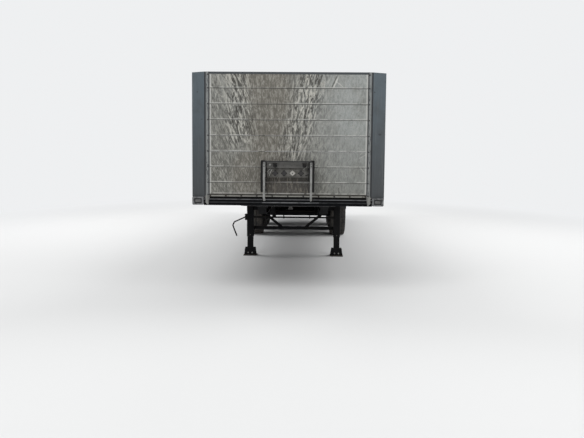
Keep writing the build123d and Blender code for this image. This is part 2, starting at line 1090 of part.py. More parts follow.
def leg_drive():
    """Cross shaft between the legs, and the stowed crank on the right-hand leg."""
    inner = leg_offset - leg_housing / 2
    outer = leg_offset + leg_housing / 2
    shaft = bar_x(shaft_radius, -inner, inner, leg_station, shaft_height)
    gearbox = block(
        (-outer - gearbox_width, -outer),
        (leg_station - gearbox_half_depth, leg_station + gearbox_half_depth),
        (shaft_height - gearbox_half_height, shaft_height + gearbox_half_height),
    )
    gearbox = fillet(gearbox.edges().filter_by(Axis.X), gearbox_round)
    start = (-outer - gearbox_width * 0.75, at(leg_station), shaft_height)
    corners = [(-x, at(leg_station), z) for x, z in crank_corners]
    path = FilletPolyline(start, *corners, radius=crank_bend)
    profile = Plane(origin=path @ 0, z_dir=path % 0) * Circle(crank_radius)
    return [shaft, gearbox + sweep(profile, path=path)]


def hangers():
    """Spring hangers under the beams, wrapped round the front and open behind, with pivot bolts."""
    pieces = []
    wall = hanger_wall
    half = arm_width / 2 + wall
    low = pivot_height - eye_radius - axle_seat
    for station in axle_stations:
        pivot = station - hanger_lead
        outline = [
            (pivot - hanger_front, beam_bottom),
            (pivot - 1.5 * eye_radius, low),
            (pivot + 1.5 * eye_radius, low),
            (pivot + hanger_back, beam_bottom),
        ]
        shell = along_x(outline, beam_x - half, beam_x + half)
        pocket = along_x(
            [
                (pivot - hanger_front + 3 * wall, beam_bottom - wall),
                (pivot - 1.5 * eye_radius + wall, low - wall),
                (pivot + hanger_back + wall, low - wall),
                (pivot + hanger_back + wall, beam_bottom - wall),
            ],
            beam_x - half + wall,
            beam_x + half - wall,
        )
        reach = half + axle_seat
        bolt = bar_x(pivot_radius, beam_x - reach, beam_x + reach, pivot, pivot_height)
        pieces.append(shell - pocket + bolt)
    return pairs(pieces)


def trailing_arms():
    """Sprung arms from the hanger bolts to the air bellows, clamped over the axles."""
    pieces = []
    half = arm_width / 2 - running_gap
    seat = arm_seat
    tail = bellows_seat
    clamp_top = seat + arm_depth
    clamp_low = wheel_centre - axle_radius - running_gap - clamp_plate
    for station in axle_stations:
        pivot = station - hanger_lead
        end = station + bellows_trail + arm_tail_reach
        outline = [
            (pivot, pivot_height - eye_radius),
            (station - hanger_lead / 2, seat - eye_radius / 2),
            (station - saddle_half, seat),
            (station + saddle_half, seat),
            (station + hanger_lead / 2, tail - arm_tail_gauge),
            (end, tail - arm_tail_gauge),
            (end, tail),
            (station + bellows_trail - arm_tail_reach, tail),
            (station + saddle_half, clamp_top),
            (station - saddle_half, clamp_top),
            (station - hanger_lead / 2, seat + eye_radius),
            (pivot, pivot_height + eye_radius),
        ]
        arm = along_x(outline, beam_x - half, beam_x + half)
        arm += bar_x(eye_radius, beam_x - half, beam_x + half, pivot, pivot_height)
        arm += block(
            (beam_x - half, beam_x + half),
            (station - saddle_half, station + saddle_half),
            (wheel_centre, seat + 1),
        )
        arm += block(
            (beam_x - half, beam_x + half),
            (station - saddle_half - clamp_plate, station + saddle_half + clamp_plate),
            (clamp_low, clamp_low + clamp_plate),
        )
        for x in (beam_x - clamp_spread / 2, beam_x + clamp_spread / 2):
            for s in (station - saddle_half, station + saddle_half):
                arm += rod((x, s, clamp_low - clamp_radius), (x, s, clamp_top + clamp_radius), clamp_radius)
        reach = arm_width
        arm -= bar_x(axle_radius + running_gap, beam_x - reach, beam_x + reach, station, wheel_centre)
        arm -= bar_x(pivot_radius + running_gap, beam_x - reach, beam_x + reach, pivot, pivot_height)
        pieces.append(arm)
    return pairs(pieces)


def axles():
    """Round axle beams with brake flanges and stub ends."""
    pieces = []
    outer = brake_flange_outer
    stub_end = track / 2 + stub_reach
    for station in axle_stations:
        axle = bar_x(axle_radius, -outer, outer, station, wheel_centre)
        axle += bar_x(hub_stub_radius, -stub_end, stub_end, station, wheel_centre)
        for side in (-1, 1):
            inner = side * (outer - brake_flange_gauge)
            axle += bar_x(brake_flange_radius, inner, side * outer, station, wheel_centre)
        pieces.append(axle)
    return pieces


def air_bellows():
    """Air springs: a piston and a rolled bag between each arm and its beam."""
    bag_low = bellows_seat + piston_height
    neck = bellows_radius - bellows_neck
    profile = [
        Line((0, bellows_seat), (piston_radius, bellows_seat)),
        Line((piston_radius, bellows_seat), (piston_radius - 8, bag_low)),
        Line((piston_radius - 8, bag_low), (bellows_radius - bag_roll, bag_low)),
        ThreePointArc(
            (bellows_radius - bag_roll, bag_low),
            (bellows_radius - 0.3 * bag_roll, bag_low + 0.3 * bag_roll),
            (bellows_radius, bag_low + bag_roll),
        ),
        Line((bellows_radius, bag_low + bag_roll), (bellows_radius, beam_bottom - 2 * bag_roll)),
        ThreePointArc(
            (bellows_radius, beam_bottom - 2 * bag_roll),
            (bellows_radius - 0.4 * bag_roll, beam_bottom - bag_roll),
            (neck, beam_bottom - plate),
        ),
        Line((neck, beam_bottom - plate), (neck, beam_bottom)),
        Line((neck, beam_bottom), (0, beam_bottom)),
        Line((0, beam_bottom), (0, bellows_seat)),
    ]
    bag = revolve(Plane.XZ * make_face(Curve() + profile), Axis.Z)
    return pairs([Pos(beam_x, at(station + bellows_trail), 0) * bag for station in axle_stations])


def shock_absorbers():
    """Dampers beside the arms, on pins from the hangers and the arms."""
    pieces = []
    inner_arm = beam_x - arm_width / 2 + running_gap
    inner_hanger = beam_x - arm_width / 2 - hanger_wall
    line = inner_hanger - damper_offset
    for station in axle_stations:
        top = (line, station - hanger_lead + hanger_wall, pivot_height + damper_rise)
        low = (line, station - pivot_radius, arm_seat + damper_rod_radius)
        split = tuple((a + b) / 2 for a, b in zip(top, low))
        damper = rod(top, split, damper_radius) + rod(split, low, damper_rod_radius)
        damper += bar_x(damper_pin_radius, line - pivot_radius, inner_hanger, top[1], top[2])
        damper += bar_x(damper_pin_radius, line - pivot_radius, inner_arm, low[1], low[2])
        pieces.append(damper)
    return pairs(pieces)


def brake_chambers():
    """Air brake chambers behind the axle beams, with their levers and camshafts."""
    pieces = []
    place = chamber_place
    height = wheel_centre + chamber_rise
    shaft_z = height - camshaft_drop
    flange_inner = brake_flange_outer - brake_flange_gauge
    for station in axle_stations:
        front = station + axle_radius + chamber_lead
        shaft_s = station + camshaft_trail
        chamber = Pos(place, at(front + chamber_length / 2), height) * Rot(90, 0, 0)
        ring = Pos(place, at(front + chamber_length / 2 - bracket_gauge), height) * Rot(90, 0, 0)
        piece = chamber * Cylinder(chamber_radius, chamber_length)
        piece += ring * Cylinder(chamber_ring_radius, chamber_ring)
        top = wheel_centre + axle_radius
        bracket = [
            (station, top),
            (station, top + bracket_gauge),
            (front, top + bracket_gauge),
            (front, height - bracket_half_width),
            (front - bracket_gauge, height - bracket_half_width),
            (front - bracket_gauge, top),
        ]
        piece += along_x(bracket, place - bracket_half_width, place + bracket_half_width)
        lever = [
            (shaft_s - lever_boss, shaft_z),
            (shaft_s + lever_boss, shaft_z),
            (shaft_s + lever_tip, height),
            (shaft_s - lever_tip, height),
        ]
        x0 = place - lever_gauge / 2
        x1 = place + lever_gauge / 2
        piece += along_x(lever, x0, x1)
        piece += bar_x(lever_boss, x0, x1, shaft_s, shaft_z)
        piece += bar_x(lever_tip, x0, x1, shaft_s, height)
        piece += bar_x(camshaft_radius, x0 - lever_tip, flange_inner, shaft_s, shaft_z)
        pieces.append(piece)
    return pairs(pieces)


def mudguards():
    """Rolled guards over the wheels, each on two tubular stays from the beam web."""
    inner = tyre_radius + guard_clearance
    outer = inner + mudguard_gauge
    x1 = track / 2 + mudguard_width / 2 - mudguard_inset
    x0 = x1 - mudguard_width
    start = radians(90 - mudguard_half_angle)
    end = radians(90 + mudguard_half_angle)
    pieces = []
    for station in axle_stations:
        centre = (at(station), wheel_centre)
        rim = [
            (centre[0] + r * cos(a), centre[1] + r * sin(a))
            for r, a in ((inner, start), (inner, end), (outer, end), (outer, start))
        ]
        crest = [(centre[0], centre[1] + r) for r in (inner, outer)]
        outline = make_face(
            Curve()
            + [
                ThreePointArc(rim[0], crest[0], rim[1]),
                Line(rim[1], rim[2]),
                ThreePointArc(rim[2], crest[1], rim[3]),
                Line(rim[3], rim[0]),
            ]
        )
        guard = extrude(Plane.YZ.offset(x0) * outline, mudguard_width)
        reach = outer + guard_stay_radius - 1
        for angle in (90 - guard_stay_angle, 90 + guard_stay_angle):
            place = station + reach * cos(radians(angle))
            height = wheel_centre + reach * sin(radians(angle))
            guard += bar_x(guard_stay_radius, beam_side, x1 - guard_stay_lap, place, height)
        pieces.append(guard)
    return pieces


def mudflaps():
    """Rubber flaps behind the last wheels, each under a bar from the beam web."""
    place = axle_stations[-1] + tyre_radius + flap_trail
    x1 = track / 2 + mudguard_width / 2 - mudguard_inset
    bar = block((beam_side, x1), (place, place + flap_bar), (flap_bar_low, flap_bar_low + flap_bar))
    face = place + flap_bar / 3
    flap = block(
        (x1 - mudguard_width, x1), (face, face + flap_gauge), (flap_bar_low - flap_length, flap_bar_low)
    )
    return pair(bar + flap)


# Air reservoirs under the last crossmembers before the first axle
tank_members = [station for station in crossmember_stations if station < axle_stations[0] - tank_lead]
tank_stations = [station + crossmember_width / 2 for station in tank_members[-tank_count:]]


def air_tanks():
    """Air reservoirs across the frame, between the main beams."""
    pieces = []
    for station in tank_stations:
        tank = bar_x(tank_radius, -tank_length / 2, tank_length / 2, station, tank_height)
        ends = tank.faces().filter_by(Axis.X).edges()
        pieces.append(fillet(ends, tank_round))
    return pieces


def tank_hangers():
    """Plates from the crossmembers that the reservoirs pass through."""
    pieces = []
    top = deck_bottom - crossmember_height
    reach = tank_hanger_radius
    x0 = tank_hanger_place
    x1 = x0 + tank_hanger_gauge
    for station in tank_stations:
        body = block((x0, x1), (station - reach, station + reach), (tank_height, top))
        body += bar_x(reach, x0, x1, station, tank_height)
        body -= bar_x(tank_radius + running_gap, x0 - 1, x1 + 1, station, tank_height)
        pieces.append(body)
    return pairs(pieces)


def rear_bumper():
    """Underrun bar on two arms from the tails of the beams."""
    front = rear_beam_front - bumper_arm_depth
    half = half_width - bumper_inset
    bar = block(
        (-half, half),
        (rear_beam_front, rear_beam_front + bumper_depth),
        (bumper_bottom, bumper_bottom + bumper_height),
    )
    bar = fillet(bar.edges().filter_by(Axis.X), bumper_round)
    slope = (tail_height - beam_bottom) / (rear_beam_front - tail_start)
    outline = [
        (rear_beam_front, bumper_bottom),
        (rear_beam_front, tail_height),
        (front, tail_height - slope * bumper_arm_depth),
        (front + bumper_arm_depth / 4, bumper_bottom + 1.5 * bumper_height),
        (rear_beam_front - bumper_arm_depth / 2, bumper_bottom),
    ]
    arm = along_x(outline, beam_x - bumper_arm_width / 2, beam_x + bumper_arm_width / 2)
    for piece in pair(arm):
        bar += piece
    return bar


def lamp_bar():
    """Folded panel across the tail for the lamps and the plate."""
    top = deck_top - rear_beam_height
    bottom = top - lamp_bar_height
    edge = rear_beam_front + lamp_bar_depth
    bends = [(edge, bottom), (rear_beam_front, bottom), (rear_beam_front, top), (edge, top)]
    return along_x(folded(bends, -sheet), -rear_half_width, rear_half_width)


def tail_lamps():
    """Tail lamp clusters on the lamp bar."""
    top = deck_top - rear_beam_height
    margin = sheet + tail_lamp_margin
    face = rear_beam_front + sheet
    outer = rear_half_width - tail_lamp_inset
    lamp = block(
        (outer - tail_lamp_length, outer),
        (face, face + lamp_bar_depth),
        (top - lamp_bar_height + margin, top - margin),
    )
    return pair(fillet(lamp.faces().sort_by(Axis.Y)[-1].edges(), tail_lamp_round))


def buffers():
    """Rubber buffers on the rear beam."""
    pad = block(
        (beam_x - buffer_width / 2, beam_x + buffer_width / 2),
        (rear_edge, rear_edge + buffer_depth),
        (deck_top - rear_beam_height + buffer_low, deck_top - buffer_high),
    )
    return pair(fillet(pad.edges().filter_by(Axis.X).group_by(Axis.Y)[-1], buffer_round))


def tyre(side, station):
    """Wide single tyre: arced sidewalls and a crowned tread with four grooves, revolved."""
    half = tyre_width / 2
    bead = rim_width / 2
    lip_end = (bead + rim_lip_width + bead_lap, rim_radius + rim_lip + bead_rise)
    belly = (half, (rim_radius + tyre_radius) / 2 - belly_drop)
    shoulder = (half - shoulder_inset, tyre_radius - shoulder_drop)

    def crown(u):
        """Height of the tread at a distance from the middle."""
        return tyre_radius - tread_drop * (u / tread_half_width) ** 2

    sides = []
    for way in (1, -1):
        def across(point):
            """A point of the left half, or its mirror image."""
            return (way * point[0], point[1])

        corner = (tread_half_width, crown(tread_half_width))
        round_point = (half - shoulder_round_inset, tyre_radius - shoulder_round_drop)
        sides += [
            Line(across((0, rim_radius)), across((bead, rim_radius))),
            Line(across((bead, rim_radius)), across((bead, rim_radius + rim_lip))),
            Line(across((bead, rim_radius + rim_lip)), across(lip_end)),
            ThreePointArc(across(lip_end), across(belly), across(shoulder)),
            ThreePointArc(across(shoulder), across(round_point), across(corner)),
        ]
    tread = [(-tread_half_width, crown(tread_half_width))]
    for place in groove_places:
        low = place - groove_width / 2
        high = place + groove_width / 2
        floor = crown(place) - groove_depth
        tread += [
            (low, crown(low)),
            (low + groove_slope, floor),
            (high - groove_slope, floor),
            (high, crown(high)),
        ]
    tread.append((tread_half_width, crown(tread_half_width)))
    face = make_face(Curve() + sides + [Polyline(*tread)])
    return Pos(side * track / 2, at(station), wheel_centre) * revolve(face, Axis.X)


def wheel(side, station):
    """Steel disc wheel with its hub, cap and brake drum; the dish faces outwards."""
    bead = rim_width / 2
    lip = bead + rim_lip_width
    inner = rim_radius - rim_gauge
    drum_end = disc_face - disc_gauge
    dish_start = (disc_face - dish_edge, inner - dish_seat)
    hub_shoulder = (hub_face - hub_cone_depth, hub_radius - hub_cone_drop)
    hub_round = (hub_face - hub_round_depth, hub_radius - hub_round_drop)
    rim_outside = Polyline(
        (drum_end - drum_shoulder, inner),
        (-lip, inner),
        (-lip, rim_radius + rim_lip),
        (-bead, rim_radius + rim_lip),
        (-bead, rim_radius),
        (bead, rim_radius),
        (bead, rim_radius + rim_lip),
        (lip, rim_radius + rim_lip),
        (lip, inner),
        dish_start,
    )
    dish_outside = ThreePointArc(
        dish_start, (disc_face - dish_bow, inner - dish_rise), (disc_face, disc_flat_radius)
    )
    hub_outside = [
        Line((disc_face, disc_flat_radius), (disc_face, hub_radius)),
        Line((disc_face, hub_radius), hub_shoulder),
        ThreePointArc(hub_shoulder, hub_round, (hub_face, hub_cap_radius)),
        Line((hub_face, hub_cap_radius), (hub_face, 0)),
        Line((hub_face, 0), (hub_bore_depth, 0)),
    ]
    bore = hub_stub_radius + running_gap
    drum_outside = Polyline(
        (hub_bore_depth, 0),
        (hub_bore_depth, bore),
        (-drum_back, bore),
        (-drum_back, drum_radius + drum_lip),
        (-drum_back + 2 * drum_lip, drum_radius + drum_lip),
        (-drum_back + 2 * drum_lip, drum_radius),
        (drum_end, drum_radius),
    )
    dish_inside = ThreePointArc(
        (drum_end, drum_radius),
        (drum_end - dish_back_bow, inner - dish_rise),
        (drum_end - drum_shoulder, inner),
    )
    outline = Curve() + [rim_outside, dish_outside] + hub_outside + [drum_outside, dish_inside]
    body = revolve(make_face(outline), Axis.X)
    for number in range(hand_hole_count):
        angle = radians(360 / hand_hole_count * number)
        place = (disc_face - disc_gauge, hand_hole_circle * cos(angle), hand_hole_circle * sin(angle))
        body -= Pos(*place) * Rot(0, 90, 0) * Cylinder(hand_hole_radius, 4 * disc_gauge)
    if side < 0:
        body = mirror(body, about=Plane.YZ)
    return Pos(side * track / 2, at(station), wheel_centre) * body


nodes = {
    "main_beams": main_beams(),
    "crossmembers": crossmembers(),
    "side_rails": side_rails(),
    "front_beam": front_beam(),
    "rear_beam": rear_beam(),
    "deck": deck(),
    "rubbing_plate": rubbing_plate(),
    "kingpin": kingpin(),
    "wall_planks": wall_planks(),
    "wall_stiffeners": wall_stiffeners(),
    "wall_cap": wall_cap(),
    "wall_foot": wall_foot(),
    "front_posts": front_posts(),
    "corner_boxes": corner_boxes(),
    "front_lamps": front_lamps(),
    "coupling_guard": coupling_guard(),
    "coupling_heads": coupling_heads(),
    "sockets": sockets(),
    "leg_housings": leg_housings(),
    "leg_feet": leg_feet(),
    "leg_stays": leg_stays(),
    "leg_drive": leg_drive(),
    "hangers": hangers(),
    "trailing_arms": trailing_arms(),
    "axles": axles(),
    "air_bellows": air_bellows(),
    "shock_absorbers": shock_absorbers(),
    "brake_chambers": brake_chambers(),
    "mudflaps": mudflaps(),
    "air_tanks": air_tanks(),
    "tank_hangers": tank_hangers(),
    "side_pillars": side_pillars(),
    "rear_posts": rear_posts(),
    "rear_bumper": rear_bumper(),
    "lamp_bar": lamp_bar(),
    "tail_lamps": tail_lamps(),
    "buffers": buffers(),
    "rear_board": rear_board(),
}

# Mudguards, wheels and side boards, left (+X) and right (-X), counted from the front
nodes["mudguards_l"] = mudguards()
nodes["mudguards_r"] = [mirror(guard, about=Plane.YZ) for guard in nodes["mudguards_l"]]
for letter, side in (("l", 1), ("r", -1)):
    for number, station in enumerate(axle_stations, 1):
        nodes[f"tyre_{letter}{number}"] = tyre(side, station)
        nodes[f"wheel_{letter}{number}"] = wheel(side, station)
for number, start in enumerate(board_starts, 1):
    left = side_board(start)
    nodes[f"side_board_l{number}"] = left
    nodes[f"side_board_r{number}"] = mirror(left, about=Plane.YZ)

os.makedirs("parts", exist_ok=True)
for name, shape in nodes.items():
    solids = shape if isinstance(shape, list) else [shape]
    export_step(Compound([solid for piece in solids for solid in piece.solids()]), f"parts/{name}.step")
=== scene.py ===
import bpy
import bmesh
import json
from itertools import product
from math import cos, pi, radians, sin
from mathutils import Matrix, Vector


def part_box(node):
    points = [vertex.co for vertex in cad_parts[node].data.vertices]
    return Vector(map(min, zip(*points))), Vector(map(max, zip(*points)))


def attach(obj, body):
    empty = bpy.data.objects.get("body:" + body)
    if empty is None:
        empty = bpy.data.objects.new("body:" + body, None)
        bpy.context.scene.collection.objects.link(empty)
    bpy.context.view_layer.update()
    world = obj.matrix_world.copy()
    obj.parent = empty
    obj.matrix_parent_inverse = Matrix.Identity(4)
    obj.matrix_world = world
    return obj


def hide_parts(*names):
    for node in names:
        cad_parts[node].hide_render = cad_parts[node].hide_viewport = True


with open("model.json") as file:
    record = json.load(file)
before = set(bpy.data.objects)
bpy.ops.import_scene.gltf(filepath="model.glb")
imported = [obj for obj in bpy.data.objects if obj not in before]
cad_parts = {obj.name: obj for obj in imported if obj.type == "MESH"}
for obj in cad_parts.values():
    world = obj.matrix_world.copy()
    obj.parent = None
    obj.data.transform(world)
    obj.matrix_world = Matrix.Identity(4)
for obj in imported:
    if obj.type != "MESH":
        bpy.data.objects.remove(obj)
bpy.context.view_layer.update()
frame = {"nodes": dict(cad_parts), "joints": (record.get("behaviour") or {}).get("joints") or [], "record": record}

bl_info = {
    "name": "Flatbed semitrailer finish",
    "version": (1, 1, 0),
    "blender": (4, 5, 0),
    "location": "View3D > Sidebar > Trailer",
    "description": "Dresses the packed semitrailer: materials, tyres, bolts, fittings and the stage",
    "category": "Object",
}

# Places read from the frame, in metres
nodes = frame["nodes"]
low_box = {name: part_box(name)[0] for name in nodes}
high_box = {name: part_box(name)[1] for name in nodes}
joint_place = {joint["name"]: Vector(joint["pos_m"]) for joint in frame["joints"]}
kingpin = (low_box["kingpin"] + high_box["kingpin"]) / 2
wall_front = low_box["front_posts"].y
wall_low = low_box["wall_planks"].z
wall_high = high_box["wall_planks"].z
PLANKS = 8
wall_pitch = (wall_high - wall_low) / PLANKS
panel_half = high_box["wall_foot"].x
post_edge = panel_half + 0.056
deck_top = high_box["deck"].z
board_foot = deck_top + 0.005
BOARD_PITCH = 0.2
rail_face = 1.238
rail_low = low_box["side_rails"].z

SIDES = (("l", 1), ("r", -1))
AXLES = (1, 2, 3)
# each wheel and each drop side with the way that its outer face looks along X
WHEELS = {f"{side}{axle}": way for side, way in SIDES for axle in AXLES}
BOARDS = {f"{side}{number}": way for side, way in SIDES for number in (1, 2, 3, 4)}
WAYS = (-1, 1)
UP = (0, 0, 1)
DOWN = (0, 0, -1)
FRONT = (0, -1, 0)
REAR = (0, 1, 0)


def behind(distance):
    """Y of a place this far behind the headboard's face."""
    return wall_front + distance


def both(distance, middle=0.0):
    """Two values, this far below and above the middle."""
    return (middle - distance, middle + distance)


class Signal:
    """A shader socket that takes part in arithmetic; each operator adds one Math node."""

    def __init__(self, tree, socket):
        self.tree = tree
        self.socket = socket

    def __add__(self, other):
        return self.tree.maths("ADD", self, other)

    def __sub__(self, other):
        return self.tree.maths("SUBTRACT", self, other)

    def __rsub__(self, other):
        return self.tree.maths("SUBTRACT", other, self)

    def __mul__(self, other):
        return self.tree.maths("MULTIPLY", self, other)

    def __truediv__(self, other):
        return self.tree.maths("DIVIDE", self, other)

    def __abs__(self):
        return self.tree.maths("ABSOLUTE", self)

    __radd__ = __add__
    __rmul__ = __mul__


class Tree:
    """The nodes of one material or of the world."""

    def __init__(self, node_tree):
        self.nodes = node_tree.nodes
        self.links = node_tree.links

    def feed(self, node, sockets):
        """Links or sets a node's sockets; a colour is three numbers."""
        for name, value in sockets.items():
            socket = node.inputs[name]
            if isinstance(value, Signal):
                self.links.new(value.socket, socket)
            else:
                socket.default_value = (*value, 1.0) if socket.type == "RGBA" else value

    def node(self, kind, sockets=None, output=0, **settings):
        """Adds a shader node: its settings first, then its sockets; gives one output's signal."""
        made = self.nodes.new("ShaderNode" + kind)
        for name, value in settings.items():
            setattr(made, name, value)
        self.feed(made, sockets or {})
        return Signal(self, made.outputs[output])

    def maths(self, operation, first, second=0.0):
        return self.node("Math", {0: first, 1: second}, operation=operation)

    def higher(self, first, second):
        return self.maths("MAXIMUM", first, second)

    def lower(self, first, second):
        return self.maths("MINIMUM", first, second)

    def away(self, first, second):
        """Length of two distances at right angles."""
        return self.maths("SQRT", first * first + second * second)

    def wave(self, value, pitch):
        return self.maths("SINE", value * (2 * pi / pitch))

    def step(self, value, low, high):
        """Smooth step from 0 at low to 1 at high, which may be the smaller."""
        limits = {"Value": value, "From Min": low, "From Max": high}
        return self.node("MapRange", limits, interpolation_type="SMOOTHSTEP")

    def within(self, value, low, high, soft):
        """1 between two limits, falling to 0 over a soft width outside them."""
        return self.step(value, low - soft, low) * self.step(value, high + soft, high)

    def show(self, output, factor, first, second):
        """Mixes two shaders into the tree's output node."""
        mixed = self.node("MixShader", {0: factor, 1: first, 2: second})
        self.feed(self.nodes[output], {"Surface": mixed})

    def seen(self):
        """1 for the camera, in gloss and through glass."""
        rays = ("Is Camera Ray", "Is Glossy Ray", "Is Transmission Ray")
        camera, gloss, glass = [self.node("LightPath", output=ray) for ray in rays]
        return self.higher(self.higher(camera, gloss), glass)


class Finish(Tree):
    """One material under construction; its tone is what its coats have made so far."""

    def __init__(self, name):
        material = bpy.data.materials.new(name)
        material.use_nodes = True
        FINISHES[name] = material
        super().__init__(material.node_tree)
        self.look = bpy.context.scene.trailer_look
        self.shader = self.nodes["Principled BSDF"]
        self.place = self.node("TexCoord", output="Object")
        self.x, self.y, self.z = [self.split(self.place, axis) for axis in "XYZ"]

    def split(self, vector, axis):
        return self.node("SeparateXYZ", {0: vector}, axis)

    def joined(self, first, second, third):
        """Vector from three values."""
        return self.node("CombineXYZ", {0: first, 1: second, 2: third})

    def noise(self, scale, detail=3.0, roughness=0.55, distortion=0.0, at=None):
        """Noise over the object; a scale of three numbers stretches it along the axes."""
        if isinstance(scale, tuple):
            at = self.node("VectorMath", {0: self.place, 1: scale}, operation="MULTIPLY")
            scale = 1.0
        form = {"Scale": scale, "Detail": detail, "Roughness": roughness, "Distortion": distortion}
        return self.node("TexNoise", {"Vector": at or self.place, **form})

    def spot(self, x, z, across, up, lean=0.0):
        """A leaning oval seen from the front, 1 in its middle."""
        rise = self.z - z
        from_x = (self.x - x - rise * lean) / across
        from_z = rise / up
        return self.step(from_x * from_x + from_z * from_z, 1.0, 0.3)

    def tag(self, value):
        """A number between 0 and 1 that differs from one whole value to the next."""
        return self.node("TexWhiteNoise", {"W": value}, noise_dimensions="1D")

    def facing(self, axis, low, high):
        """Smooth step of the part of the face's normal along an axis."""
        return self.step(self.split(self.node("NewGeometry", output="Normal"), axis), low, high)

    def facing_up(self):
        return self.facing("Z", 0.35, 0.9)

    def facing_front(self):
        return self.facing("Y", -0.5, -0.9)

    def front_face(self, front, depth):
        """1 on faces at the very front of a piece that look forwards."""
        return self.step(self.y, front + depth, front + 0.001) * self.facing_front()

    def mix(self, factor, first, second):
        """Colour from the first to the second."""
        return self.node("Mix", {0: factor, 6: first, 7: second}, 2, data_type="RGBA", clamp_factor=True)

    def coat(self, factor, colour):
        """Lays a colour over the tone."""
        self.tone = self.mix(factor, self.tone, colour)

    def done(self, roughness, height, depth, gloss=0.5, metal=0.0, coat=0.0):
        """Feeds the shader with the tone, a roughness and a relief whose depth is in metres."""
        bump = self.node("Bump", {"Height": height, "Distance": depth, "Strength": 1.0})
        self.feed(self.shader, {"Base Color": self.tone, "Roughness": roughness, "Normal": bump})
        self.feed(self.shader, {"Specular IOR Level": gloss, "Metallic": metal, "Coat Weight": coat})


